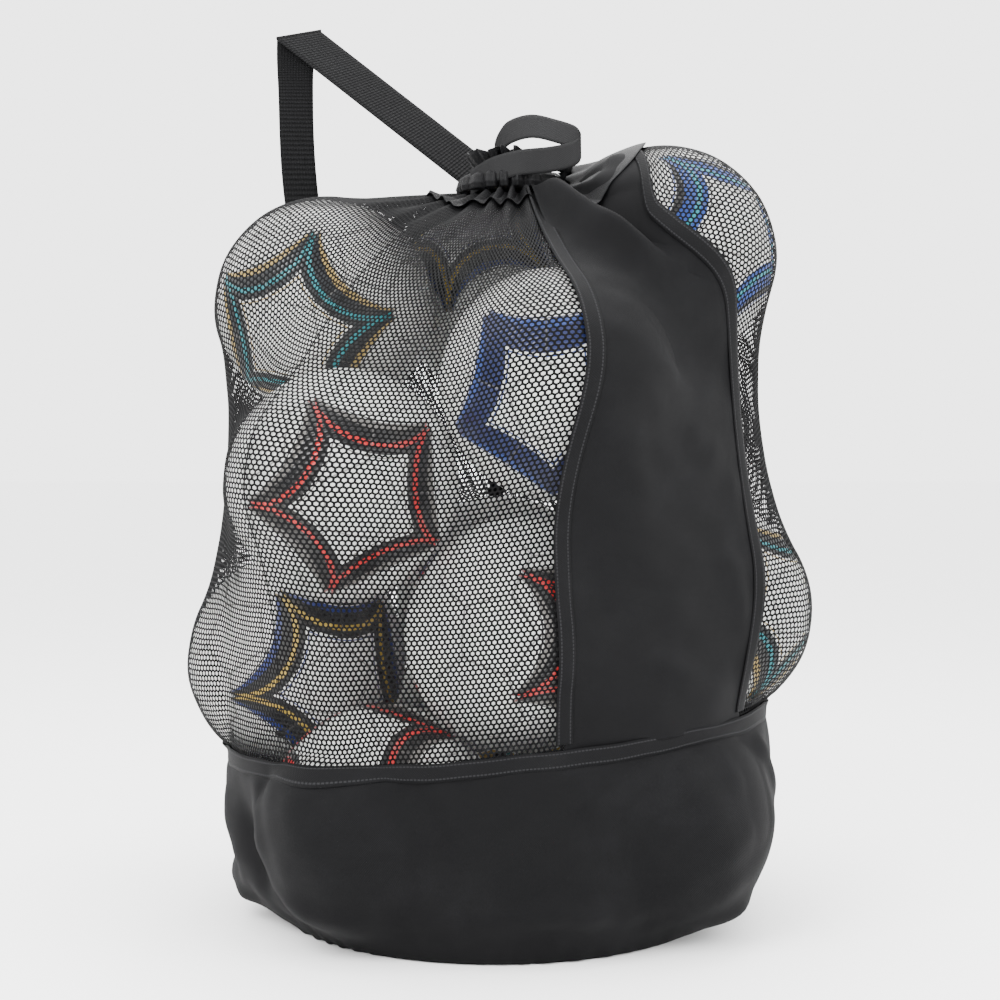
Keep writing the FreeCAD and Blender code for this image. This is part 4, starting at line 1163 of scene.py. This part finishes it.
@dataclass
class Wall:
    """The sewn cloth of the wall: front panel, nets and the bindings of their seams."""

    skin: Skin
    pleats: Pleats = field(default_factory=Pleats)
    cloth: float = 0.0009
    binding_width: float = 0.015
    panel_width: float = 0.235
    tape_start: float = 0.015
    tape_run: float = 0.975

    panel_folds: tuple[Fold, ...] = (
        Fold((18, 1.0), (57, 0.70), 0.030, 0.027, 3.2, True),
        Fold((40, 0.92), (66, 0.73), 0.030, -0.012),
        Fold((60, 0.70), (92, 0.86), 0.014, 0.006, 1.6),
        Fold((58, 0.92), (88, 0.90), 0.014, 0.004, 1.8),
        Fold((40, 0.60), (66, 0.55), 0.020, -0.004),
        Fold((24, 0.50), (34, 0.32), 0.022, 0.004),
        Fold((45, 0.46), (62, 0.40), 0.016, 0.003),
        Fold((22, 0.22), (50, 0.19), 0.018, 0.004, 1.5),
        Fold((34, 0.12), (60, 0.02), 0.022, 0.005, 1.5),
        Fold((18, 0.08), (44, 0.03), 0.018, 0.004),
        Fold((56, 0.30), (64, 0.10), 0.014, 0.004),
    )

    def panel_left(self, share: Array) -> Array:
        """Bearing of the front panel's left edge."""
        return edge(PANEL_LEFT, share)

    def panel_right(self, share: Array) -> Array:
        """Bearing of the front panel's right edge."""
        return edge(PANEL_RIGHT, share)

    def build(self) -> None:
        """Make the panel, the nets and the bindings."""
        self.front_panel()
        net = Net(self.skin, self.pleats)
        for name, start, end in (("front", -49.0, None), ("side", -114.0, -49.0), ("back", -180.0, -114.0)):
            left = partial(self._upright, start)
            right = self.panel_left if end is None else partial(self._upright, end)
            net.build("mesh_left_" + name, "mesh_left", left, right)
        back = partial(self._upright, BACK_SEAM)
        net.build("mesh_right_side", "mesh_right", self.panel_right, partial(self._upright, 132.0))
        net.build("mesh_right_back", "mesh_right", partial(self._upright, 132.0), back)
        self.binding("panel_binding_left", "panel_tape_left", self.panel_left)
        self.binding("panel_binding_right", "panel_tape_right", self.panel_right)
        self.binding("back_seam_binding", "back_seam_tape", back)

    @staticmethod
    def _upright(bearing: float, share: Array) -> Array:
        """The same bearing at every share."""
        return np.full(np.shape(share), bearing)

    def front_panel(self) -> None:
        """Opaque front panel with the creases of a slack, coated cloth."""
        height = float(self.skin.lengths[Zone.WALL].mean())

        def place(u: Array, v: Array) -> Array:
            """Lay the panel with its folds.

            Args:
                u: share across.
                v: share up.

            Returns:
                The points.
            """
            bearing = self.panel_left(v) + (self.panel_right(v) - self.panel_left(v)) * u
            x, y = np.radians(bearing) * 0.27, v * height
            lift = 0.0012 + self.pleats.lift(bearing, v) * 1.1
            calm = ease(np.minimum(u, 1 - u) * 9)
            for fold in self.panel_folds:
                lift = lift + fold.lift(bearing, v, 0.24, height) * (1.0 if fold.open_start else calm)
            lift = lift + (0.0022 * ripple(x, y, 0.11, 11) + 0.0010 * ripple(x, y, 0.045, 12)) * calm
            return self.skin.clear_of_balls(self.skin.place(bearing, v, Zone.WALL, lift), 0.002)

        metres = (self.panel_width, height)
        piece = new_piece("front_panel_cloth", cloth_grid(150, 260, place, metres))
        thicken(piece, self.cloth)
        finish_piece(piece, "bag", "coated_cloth", OXFORD, "front_panel")

    def binding(self, name: str, node: str, line: Callable[[Array], Array]) -> None:
        """Double-stitched binding along an upright seam.

        Args:
            name: the piece's name.
            node: the CAD node that it stands for.
            line: bearing of the seam at a share of the height.
        """
        height = float(self.skin.lengths[Zone.WALL].mean())

        def place(u: Array, v: Array) -> Array:
            """Lay the tape along its seam.

            Args:
                u: share across.
                v: share up.

            Returns:
                The points.
            """
            share = self.tape_start + self.tape_run * v
            centre = self.skin.place(line(share), share, Zone.WALL)
            reach = np.hypot(centre[:, 0], centre[:, 1])
            bearing = line(share) + np.degrees((u - 0.5) * self.binding_width / np.maximum(reach, 0.03))
            crown = 0.0006 * (1 - (2 * u - 1) ** 4)
            lift = 0.0024 + crown + self.pleats.lift(bearing, share)
            return self.skin.place(bearing, share, Zone.WALL, lift)

        piece = new_piece(name, cloth_grid(6, 200, place, (self.binding_width, height)))
        thicken(piece, 0.0008)
        finish_piece(piece, "bag", "binding_tape", BINDING, node)


@dataclass
class Cup:
    """The slack cloth cup under the wall, its rim's binding and its round base."""

    skin: Skin
    cloth: float = 0.0009
    binding_width: float = 0.015
    around: float = 1.62

    folds: tuple[Fold, ...] = (
        Fold((-80, 0.86), (-66, 0.30), 0.022, 0.008),
        Fold((-66, 0.80), (-56, 0.26), 0.014, -0.007),
        Fold((-92, 0.34), (-68, 0.20), 0.015, 0.012),
        Fold((-60, 0.95), (-50, 0.45), 0.016, 0.006),
        Fold((-52, 0.40), (-26, 0.24), 0.020, 0.006, 1.6),
        Fold((-38, 0.95), (-28, 0.55), 0.014, -0.004),
        Fold((-12, 0.92), (-6, 0.60), 0.016, 0.004),
        Fold((4, 0.30), (30, 0.24), 0.020, 0.005, 1.6),
        Fold((12, 0.95), (20, 0.60), 0.014, -0.004),
        Fold((38, 0.95), (50, 0.42), 0.018, 0.005),
        Fold((58, 0.96), (56, 0.48), 0.015, -0.007),
        Fold((66, 0.98), (76, 0.50), 0.018, 0.007, 1.6),
        Fold((50, 0.20), (78, 0.30), 0.016, 0.007, 1.8),
        Fold((96, 0.95), (104, 0.45), 0.020, 0.006),
        Fold((-130, 0.85), (-120, 0.40), 0.020, 0.006),
        Fold((128, 0.75), (146, 0.42), 0.022, 0.006),
        Fold((-164, 0.60), (-146, 0.30), 0.022, 0.006),
        Fold((168, 0.90), (158, 0.45), 0.018, -0.005),
    )

    def build(self) -> None:
        """Make the cup and its rim."""
        length = float(self.skin.lengths[Zone.CUP].mean())

        def place(u: Array, v: Array) -> Array:
            """Lay the cup with its folds and the puckers of its lower seam.

            Args:
                u: share across.
                v: share up.

            Returns:
                The points.
            """
            bearing = BACK_SEAM - 360 + 360 * u
            x, y = np.radians(bearing) * 0.26, v * length
            calm = ease(v * 5) * ease((1 - v) * 8)
            lift = 0.0012 + 0.0016 * ripple(x, y, 0.13, 21) * calm + 0.0009 * ripple(x, y, 0.05, 22) * calm
            for fold in self.folds:
                lift = lift + fold.lift(bearing, v, 0.26, length) * calm
            pucker = np.sin(x / 0.0045 + 2.0 * np.sin(x / 0.031)) * (0.5 + 0.5 * np.sin(x / 0.047))
            lift = lift + 0.0011 * pucker * np.exp(-y / 0.012)
            return self.skin.clear_of_balls(self.skin.place(bearing, v, Zone.CUP, lift), 0.002)

        piece = new_piece("cup_cloth", self._closed(cloth_grid(420, 70, place, (self.around, length))))
        thicken(piece, self.cloth)
        finish_piece(piece, "bag", "coated_cloth", CUP_CLOTH, "cup_wall")

        def rim(u: Array, v: Array) -> Array:
            """Lay the rim's tape, which runs round as its rows go up.

            Args:
                u: share across.
                v: share up.

            Returns:
                The points.
            """
            bearing = BACK_SEAM - 360 + 360 * v
            up = (u - 0.72) * self.binding_width / 0.6
            crown = 0.0006 * (1 - (2 * u - 1) ** 4)
            x = np.radians(bearing) * 0.26
            wave = 0.0016 * ripple(x, x * 0, 0.09, 31)
            return self.skin.place(bearing, up + wave, Zone.WALL, 0.0030 + crown)

        tape = cloth_grid(6, 420, rim, (self.binding_width, self.around))
        strip = new_piece("cup_rim_binding", self._closed(tape))
        thicken(strip, 0.0008)
        finish_piece(strip, "bag", "binding_tape", BINDING, "cup_rim_tape")

    @staticmethod
    def _closed(bm: bmesh.types.BMesh) -> bmesh.types.BMesh:
        """Join the two ends of a strip that runs right round."""
        bmesh.ops.remove_doubles(bm, verts=bm.verts[:], dist=0.00002)
        return bm


@dataclass
class Collar:
    """Gathered nylon collar: a yoke, a pleated casing and a ragged frill round the throat."""

    skin: Skin
    gathers: Pleats = field(default_factory=Pleats)
    pleats: int = 19

    def build(self) -> None:
        """Make the three rings of gathered cloth."""
        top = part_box("cord_casing")[1][2] - self.skin.neck[2]
        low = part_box("cord_casing")[0][2] - self.skin.neck[2]
        self._skirt()
        mid = (low + top) / 2
        self._ring("casing_cloth", "cord_casing",
                   ((0.0480, low + 0.001), (0.0540, low + 0.003), (0.0555, mid - 0.003),
                    (0.0530, mid + 0.005), (0.0460, top - 0.001), (0.0330, top + 0.001),
                    (0.0210, top - 0.003), (0.0130, mid), (0.0125, low + 0.001)), 0.0045, 0.35, False)
        self._ring("frill_cloth", "collar_frill",
                   ((0.0300, top - 0.001), (0.0340, top + 0.004), (0.0390, top + 0.011),
                    (0.0440, top + 0.018), (0.0450, top + 0.0205)), 0.0052, 0.7, True)

    def _skirt(self) -> None:
        """Nylon yoke that spreads from the casing over the shoulders, widest on the right."""
        turns = [-322.0, -290.0, -265.0, -240.0, -205.0, -180.0, -120.0, -60.0, -20.0, 16.0, 38.0]
        lowest = [0.890, 0.872, 0.868, 0.880, 0.920, 0.945, 0.955, 0.950, 0.945, 0.945, 0.890]
        tops = [0.004, 0.014, 0.037, 0.034, 0.020, 0.012, 0.006, 0.004, 0.003, 0.002, 0.004]

        def place(u: Array, v: Array) -> Array:
            """Lay the yoke from its lower edge up to the casing.

            Args:
                u: share across.
                v: share up.

            Returns:
                The points.
            """
            bearing = turns[0] + 360 * u
            shoulder = np.interp(bearing, [-300.0, -280.0, -220.0, -190.0], [1.0, 0.0, 0.0, 1.0])
            scallop = 0.012 * np.abs(np.sin(np.radians(bearing) * 4.5)) * shoulder
            low = np.interp(bearing, turns, lowest) + scallop
            start = self.skin.place(bearing, low, Zone.WALL, 0.0042 + self.gathers.lift(bearing, low))
            top = np.interp(bearing, turns, tops)
            tucked = np.interp(top, [0.004, 0.014], [0.0490, 0.0565])
            end = self.skin.neck + self.skin.outward(bearing) * tucked[:, None]
            end = end + top[:, None] * [0, 0, 1]
            bow = 0.002 * np.sin(math.pi * v)[:, None] * [0, 0, 1]
            points = start + (end - start) * v[:, None] - bow
            phase = 27 * np.radians(bearing) + 1.5 * np.sin(3 * np.radians(bearing))
            fold = 0.0040 * ease(v * 2) * np.sin(phase)
            return self.skin.clear_of_balls(points, 0.0072) + self.skin.outward(bearing) * fold[:, None]

        bm = cloth_grid(540, 24, place, (0.62, 0.09))
        bmesh.ops.remove_doubles(bm, verts=bm.verts[:], dist=0.00001)
        piece = new_piece("collar_yoke_cloth", bm)
        thicken(piece, 0.0006)
        finish_piece(piece, "bag", "lining_nylon", NYLON, "collar_yoke")

    def _ring(self, name: str, node: str, outline: Sequence[tuple[float, float]], depth: float,
              twist: float, ragged: bool) -> None:
        """One gathered ring, turned round the neck and folded into uneven pleats.

        Args:
            name: the piece's name.
            node: the CAD node that it stands for.
            outline: radius and height above the neck, from the lower edge.
            depth: depth of the pleats.
            twist: sets how the pleats wander.
            ragged: whether the upper edge is free and uneven.
        """
        points = np.array(outline)
        stations = np.arange(len(points))

        def place(u: Array, v: Array) -> Array:
            """Lay the ring in its pleats.

            Args:
                u: share across.
                v: share up.

            Returns:
                The points.
            """
            turn = u * math.tau
            at = v * (len(points) - 1)
            radius = np.interp(at, stations, points[:, 0])
            height = np.interp(at, stations, points[:, 1])
            phase = self.pleats * turn + 1.4 * np.sin(2 * turn + 0.6) + 1.1 * np.sin(5 * turn + twist)
            phase = phase + twist * 1.5 * np.sin(v * 3 + 2 * turn)
            fold = np.abs(np.sin(phase / 2)) ** 0.7 * 2 - 1
            fine = np.sin(phase * 2.0 + 3 * np.sin(turn * 4)) * 0.25
            amount = depth * (0.65 + 0.35 * np.sin(3 * turn + 1.7 + twist))
            swell = ease(v * 6) if ragged else 1.0
            radius = radius + amount * (fold + fine) * swell
            uneven = 0.0022 * np.sin(phase * 0.5 + 1.0) * v if ragged else 0.0
            x = self.skin.neck[0] + radius * np.sin(turn)
            y = self.skin.neck[1] - radius * np.cos(turn)
            return np.stack([x, y, self.skin.neck[2] + height + uneven], -1)

        rows = 10 * (len(points) - 1)
        bm = cloth_grid(570, rows, place, (0.9, 0.08))
        bmesh.ops.remove_doubles(bm, verts=bm.verts[:], dist=0.00001)
        for _ in range(2):
            bmesh.ops.smooth_vert(bm, verts=bm.verts[:], factor=0.4, use_axis_x=True, use_axis_y=True,
                                  use_axis_z=True)
        piece = new_piece(name, bm)
        thicken(piece, 0.0005, 0.0)
        finish_piece(piece, "bag", "lining_nylon", NYLON, node)


@dataclass
class Webbing:
    """Flat straps: the shoulder strap and the carry handle."""

    skin: Skin
    strap_width: float = 0.038
    strap_thickness: float = 0.0018
    handle_width: float = 0.026
    strap_bearing: float = 218.0

    def build(self) -> None:
        """Make both straps."""
        self.shoulder_strap()
        self.carry_handle()

    def _band(self, name: str, rows: Sequence[tuple[Array, Array]], parts: int,
              smooth: bool) -> bmesh.types.BMesh:
        """Strip through rows of left and right edge points, with a UV map in metres.

        Args:
            name: what the strip is called in the log.
            rows: left and right point of each row.
            parts: faces from one row to the next.
            smooth: run a curve through the rows instead of straight pieces.

        Returns:
            The strip.
        """
        edges = np.array(rows)
        middle = edges.mean(1)
        run = np.concatenate([[0], np.cumsum(np.linalg.norm(np.diff(middle, axis=0), axis=1))])
        width = float(np.linalg.norm(edges[0, 1] - edges[0, 0]))
        last = len(rows) - 1

        def place(u: Array, v: Array) -> Array:
            """Lay the strip between its rows.

            Args:
                u: share across.
                v: share up.

            Returns:
                The points.
            """
            at = v * last
            base = np.clip(np.floor(at).astype(int), 0, last - 1)
            part = (at - base)[:, None]
            four = [edges[np.clip(base + k, 0, last)] for k in (-1, 0, 1, 2)]
            if smooth:
                sides = catmull(*four, part[..., None])
            else:
                sides = four[1] + (four[2] - four[1]) * part[..., None]
            return sides[:, 0] + (sides[:, 1] - sides[:, 0]) * u[:, None]

        bm = cloth_grid(8, last * parts, place, (width, float(run[-1])))
        log.info("%s is %.3f m long", name, run[-1])
        return bm

    def shoulder_strap(self) -> None:
        """Shoulder strap, folded over at its peak and lying against the back of the bag."""
        neck, half = self.skin.neck, self.strap_width / 2
        turn = math.radians(200.0)
        out = np.array([math.sin(turn), -math.cos(turn), 0.0])
        tab = box_middle("strap_tab_top")
        start = tab + out * 0.0021
        left, right = neck + [-0.253, 0.100, 0.191], neck + [-0.205, 0.100, 0.199]
        run = unit((left + right) / 2 - start)
        wide = unit(np.cross(out, run)) * half
        wide = wide if wide[2] > 0 else -wide
        rows = [(start - wide + (left - start + wide) * s, start + wide + (right - start - wide) * s)
                for s in np.linspace(0, 1, 9)]
        bend = self.strap_thickness * 1.4
        for angle in (45, 90, 135):
            rise = math.radians(angle)
            lift = np.array([0, bend * (1 - math.cos(rise)), bend * math.sin(rise)])
            rows.append((left + lift, right + lift))
        back = np.array([0, 2 * bend, 0])
        hang = [(left + back, right + back)]
        for height, depth, west, east in ((0.147, 0.114, -0.253, -0.215), (0.005, 0.155, -0.248, -0.210)):
            hang.append((neck + [west, depth, height], neck + [east, depth, height]))
        for height in (0.500, 0.440, 0.380, 0.320, 0.260):
            share = self.skin.bearing_row(self.strap_bearing, height)
            bearing, share = np.array([self.strap_bearing]), np.array([share])
            middle = self.skin.place(bearing, share, Zone.WALL, 0.008)[0]
            outward = unit(self.skin.place(bearing, share, Zone.WALL, 1.0)[0] - middle)
            side = unit(np.cross(outward, [0, 0, 1])) * half
            hang.append((middle - side, middle + side))
        low = box_middle("strap_tab_bottom")
        normal = self._tab_normal("strap_tab_bottom")
        across = unit(np.cross([0, 0, 1], normal))
        up = unit(np.cross(normal, across))
        for rise, lift in ((0.034, 0.0056), (0.019, 0.0027), (0.006, 0.0021), (-0.010, 0.0021)):
            middle = low + up * rise + normal * lift
            hang.append((middle + across * half, middle - across * half))
        bm_front = self._band("strap_front", rows + hang[:1], 4, False)
        bm_back = self._band("strap_back", hang, 14, True)
        piece = self._joined("shoulder_strap_webbing", bm_front, bm_back)
        thicken(piece, self.strap_thickness, 0.0)
        finish_piece(piece, "strap", "strap_webbing", STRAP_WEBBING, "shoulder_strap")

    def _tab_normal(self, node: str) -> Array:
        """Find which way a tab faces.

        Args:
            node: the tab's CAD node.

        Returns:
            The normal of its outer face.
        """
        mesh = bpy.data.objects[node].data
        areas = sorted(mesh.polygons, key=lambda p: -p.area)[:4]
        best = max(areas, key=lambda p: p.normal.dot(Vector(box_middle(node) * [1, 1, 0]).normalized()))
        return np.array(best.normal)

    def _joined(self, name: str, first: bmesh.types.BMesh, second: bmesh.types.BMesh) -> bpy.types.Object:
        """Join two strips that meet at a row.

        Args:
            name: the piece's name.
            first: one strip.
            second: the other, which is freed.

        Returns:
            The joined piece.
        """
        spare = bpy.data.meshes.new(name + "_part")
        second.to_mesh(spare)
        second.free()
        first.from_mesh(spare)
        bpy.data.meshes.remove(spare)
        bmesh.ops.remove_doubles(first, verts=first.verts[:], dist=0.0001)
        return new_piece(name, first)

    def carry_handle(self) -> None:
        """Short band sewn to the collar at both ends, folded at its outer end."""
        neck, half = self.skin.neck, self.handle_width / 2
        front = 0.0518
        level, over = 0.017, 0.0283
        route = (
            (-0.042, -0.58, level - 0.002, 0.10), (-0.031, -0.77, level + 0.004, 0.10),
            (-0.018, -0.95, level + 0.009, 0.10),
            (0.006, -1.10, level + 0.014, 0.12), (0.036, -1.13, level + 0.017, 0.15),
            (0.057, -1.11, level + 0.022, 0.20), (0.066, -1.07, level + 0.029, 0.25),
            (0.062, -0.99, level + 0.039, 0.30), (0.042, -0.92, level + 0.047, 0.35),
            (0.018, -0.80, level + 0.053, 0.35), (-0.004, -0.62, over + 0.037, 0.30),
            (-0.014, -0.46, over + 0.026, 0.20), (-0.018, -0.38, over + 0.016, 0.10),
        )
        rows = []
        for x, y, z, lean in route:
            across = unit(np.array([0, lean, 1.0])) * half
            middle = neck + [x, y * front, z]
            rows.append((middle - across, middle + across))
        piece = new_piece("carry_handle_band", self._band("carry_handle", rows, 12, True))
        thicken(piece, 0.0014, 0.0)
        finish_piece(piece, "handle", "handle_webbing", HANDLE_BAND, "carry_handle")


@dataclass
class Balls:
    """The footballs: sewn panels with sunk seams and printed curves, each rolled its own way."""

    ball_radius: float = 0.11
    seam: float = 0.0022
    rounds: int = 3
    sink: float = 0.0009
    shrink: float = 0.0003

    looks: tuple[tuple[str, Stripe, tuple[float, float, float], float], ...] = (
        ("ball_lower_1", Stripe.GOLD, (0.45, -0.85, -0.12), 12.0),
        ("ball_lower_2", Stripe.RED, (0.75, -0.62, 0.02), 30.0),
        ("ball_middle_1", Stripe.RED, (0.22, -0.95, -0.14), 6.0),
        ("ball_upper_1", Stripe.TEAL, (-0.25, -0.88, -0.32), 40.0),
        ("ball_upper_2", Stripe.NAVY, (-0.10, -0.95, -0.20), 20.0),
        ("ball_upper_3", Stripe.BLUE, (0.62, -0.70, 0.20), 10.0),
        ("ball_middle_2", Stripe.RED, (0.80, -0.55, 0.15), 22.0),
        ("ball_lower_3", Stripe.TEAL, (0.75, -0.60, 0.10), 8.0),
        ("ball_upper_4", Stripe.GOLD, (-0.30, -0.60, 0.70), 15.0),
        ("ball_lower_4", Stripe.NAVY, (0.10, 0.95, 0.10), 0.0),
        ("ball_middle_3", Stripe.BLUE, (-0.60, 0.75, 0.10), 30.0),
        ("ball_floor_1", Stripe.RED, (-0.30, -0.50, 0.80), 5.0),
        ("ball_floor_2", Stripe.TEAL, (-0.60, 0.70, 0.40), 18.0),
        ("ball_floor_3", Stripe.GOLD, (0.55, 0.75, 0.30), 34.0),
        ("ball_floor_4", Stripe.NAVY, (0.30, -0.50, 0.80), 24.0),
    )

    def build(self) -> None:
        """Make one sewn cover and place a turned copy for each ball."""
        cover = self._cover()
        for node, stripe, facing, roll in self.looks:
            turn = Vector(facing).to_track_quat("Z", "Y") @ Quaternion((0, 0, 1), math.radians(roll))
            self._ball(node, stripe, turn.to_matrix(), cover)
        bpy.data.meshes.remove(cover)

    def _cover(self) -> bpy.types.Mesh:
        """Cover of twelve five-sided and twenty six-sided panels.

        Returns:
            A mesh about the origin, with the depth of each point in a seam.
        """
        bm = bmesh.new()
        bmesh.ops.create_icosphere(bm, subdivisions=1, radius=1.0)
        bmesh.ops.bevel(bm, geom=bm.verts[:], offset=100 / 3, offset_type="PERCENT", affect="VERTICES",
                        segments=1, profile=0.5, material=-1)
        bmesh.ops.remove_doubles(bm, verts=bm.verts[:], dist=0.01)
        bmesh.ops.inset_individual(bm, faces=bm.faces[:], thickness=self.seam / self.ball_radius,
                                   use_even_offset=True)
        layer = bm.verts.layers.float.new("seam")
        for v in bm.verts:
            v[layer] = 1.0 if len(v.link_faces) > 5 or len(v.link_edges) > 4 else 0.0
        shell = new_piece("cover", bm)
        rounder = shell.modifiers.new("Round", "SUBSURF")
        rounder.subdivision_type = "SIMPLE"
        rounder.levels = rounder.render_levels = self.rounds
        graph = bpy.context.evaluated_depsgraph_get()
        whole = bpy.data.meshes.new_from_object(shell.evaluated_get(graph), preserve_all_data_layers=True,
                                                depsgraph=graph)
        flat = shell.data
        bpy.data.objects.remove(shell)
        bpy.data.meshes.remove(flat)
        return whole

    def _ball(self, node: str, stripe: Stripe, turn: Matrix, cover: bpy.types.Mesh) -> None:
        """One ball, with its directions turned for the print and its seams sunk.

        Args:
            node: the CAD node that it stands for.
            stripe: its inks.
            turn: how the ball has rolled.
            cover: the mesh to copy.
        """
        low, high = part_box(node)
        radius = (high[2] - low[2]) / 2 - self.shrink
        mesh = cover.copy()
        mesh.name = node + "_sewn"
        points = np.zeros(len(mesh.vertices) * 3)
        mesh.vertices.foreach_get("co", points)
        seams = np.zeros(len(mesh.vertices))
        mesh.attributes["seam"].data.foreach_get("value", seams)
        directions = unit(points.reshape(-1, 3))
        reach = radius - self.sink * ease(seams)
        placed = box_middle(node) + directions @ np.array(turn).T * reach[:, None]
        mesh.vertices.foreach_set("co", placed.ravel())
        turned = mesh.attributes.new("turned", "FLOAT_VECTOR", "POINT")
        turned.data.foreach_set("vector", directions.ravel())
        mesh.update()
        piece = bpy.data.objects.new(node + "_sewn", mesh)
        bpy.context.scene.collection.objects.link(piece)
        finish = BallFinish("Ball cover " + stripe.name.lower(), stripe)
        finish_piece(piece, "bag", "ball_cover", finish, node)


@dataclass
class Hardware:
    """Small parts whose CAD shape is kept and given a finish."""

    finishes: tuple[tuple[str, Finish], ...] = (
        ("base_disc", BASE_CLOTH), ("base_piping", PIPING), ("eyelet", NICKEL), ("draw_cord", CORD_BRAID),
        ("cord_lock_barrel", LOCK_PLASTIC), ("cord_lock_plunger", LOCK_PLASTIC),
        ("cord_lock_spring", SPRING_STEEL), ("cord_end_bell", LOCK_PLASTIC), ("ball_valves", VALVE_RUBBER),
        ("strap_tab_top", BASE_CLOTH), ("strap_tab_bottom", BASE_CLOTH),
    )

    def build(self) -> None:
        """Put each finish on its node."""
        for node, finish in self.finishes:
            part = bpy.data.objects[node]
            material = finish.material()
            if part.data.materials:
                part.data.materials[0] = material
            else:
                part.data.materials.append(material)
            log.info("%s: %s", node, finish.name)


# ------------------------------------------------------------------ setting


@dataclass
class Studio:
    """Pale floor, soft light and the camera."""

    distance: float = 1.75
    eye: float = 0.45
    lens: float = 61.85
    shift: tuple[float, float] = (0.003, -0.037)
    sky: float = 3.6
    floor_size: float = 40.0
    look_at: tuple[float, float, float] = (0.0, 0.0, 0.42)
    lamps: tuple[tuple[str, tuple[float, float, float], float, float], ...] = (
        ("key", (-1.3, -1.7, 1.9), 1.4, 100.0),
        ("fill", (1.7, -1.4, 1.2), 1.6, 50.0),
        ("top", (0.1, 0.2, 2.4), 1.6, 80.0),
    )

    def build(self) -> None:
        """Make the floor, the lights and the camera."""
        bm = bmesh.new()
        bmesh.ops.create_grid(bm, x_segments=1, y_segments=1, size=self.floor_size)
        floor = new_piece("studio_floor", bm, smooth=False)
        material = bpy.data.materials.new("Pale floor")
        material.use_nodes = True
        shader = material.node_tree.nodes["Principled BSDF"]
        shader.inputs["Base Color"].default_value = (0.95, 0.95, 0.95, 1)
        shader.inputs["Roughness"].default_value = 0.6
        floor.data.materials.append(material)
        world = bpy.data.worlds.new("Soft surroundings")
        bpy.context.scene.world = world
        world.use_nodes = True
        world.node_tree.nodes["Background"].inputs[0].default_value = (1.0, 1.0, 1.0, 1)
        world.node_tree.nodes["Background"].inputs[1].default_value = self.sky
        for lamp in self.lamps:
            self._light(*lamp)
        self._camera()

    def _light(self, name: str, place: tuple[float, float, float], size: float, power: float) -> None:
        """Large soft lamp that looks at the middle of the bag.

        Args:
            name: the lamp's name.
            place: where it stands.
            size: width of its square.
            power: in watts.
        """
        data = bpy.data.lights.new(name, "AREA")
        data.energy = power
        data.size = size
        lamp = bpy.data.objects.new(name, data)
        bpy.context.scene.collection.objects.link(lamp)
        lamp.location = place
        lamp.rotation_euler = (Vector(self.look_at) - Vector(place)).to_track_quat("-Z", "Y").to_euler()

    def _camera(self) -> None:
        """Level camera in front of the bag."""
        data = bpy.data.cameras.new("camera")
        data.lens = self.lens
        data.sensor_width = 36.0
        data.shift_x, data.shift_y = self.shift
        data.clip_start = 0.05
        camera = bpy.data.objects.new("camera", data)
        bpy.context.scene.collection.objects.link(camera)
        camera.location = (0, -self.distance, self.eye)
        camera.rotation_euler = (math.radians(90), 0, 0)
        bpy.context.scene.camera = camera


def main() -> None:
    """Build the whole bag."""
    logging.basicConfig(level=logging.INFO, format="%(message)s")
    Studio().build()
    nodes = [look[0] for look in Balls.looks]
    skin = Skin(nodes)
    log.info("skin grid %s", skin.grid.shape)
    Balls().build()
    Wall(skin).build()
    Cup(skin).build()
    Collar(skin).build()
    Webbing(skin).build()
    Hardware().build()


if __name__ == "__main__":
    main()
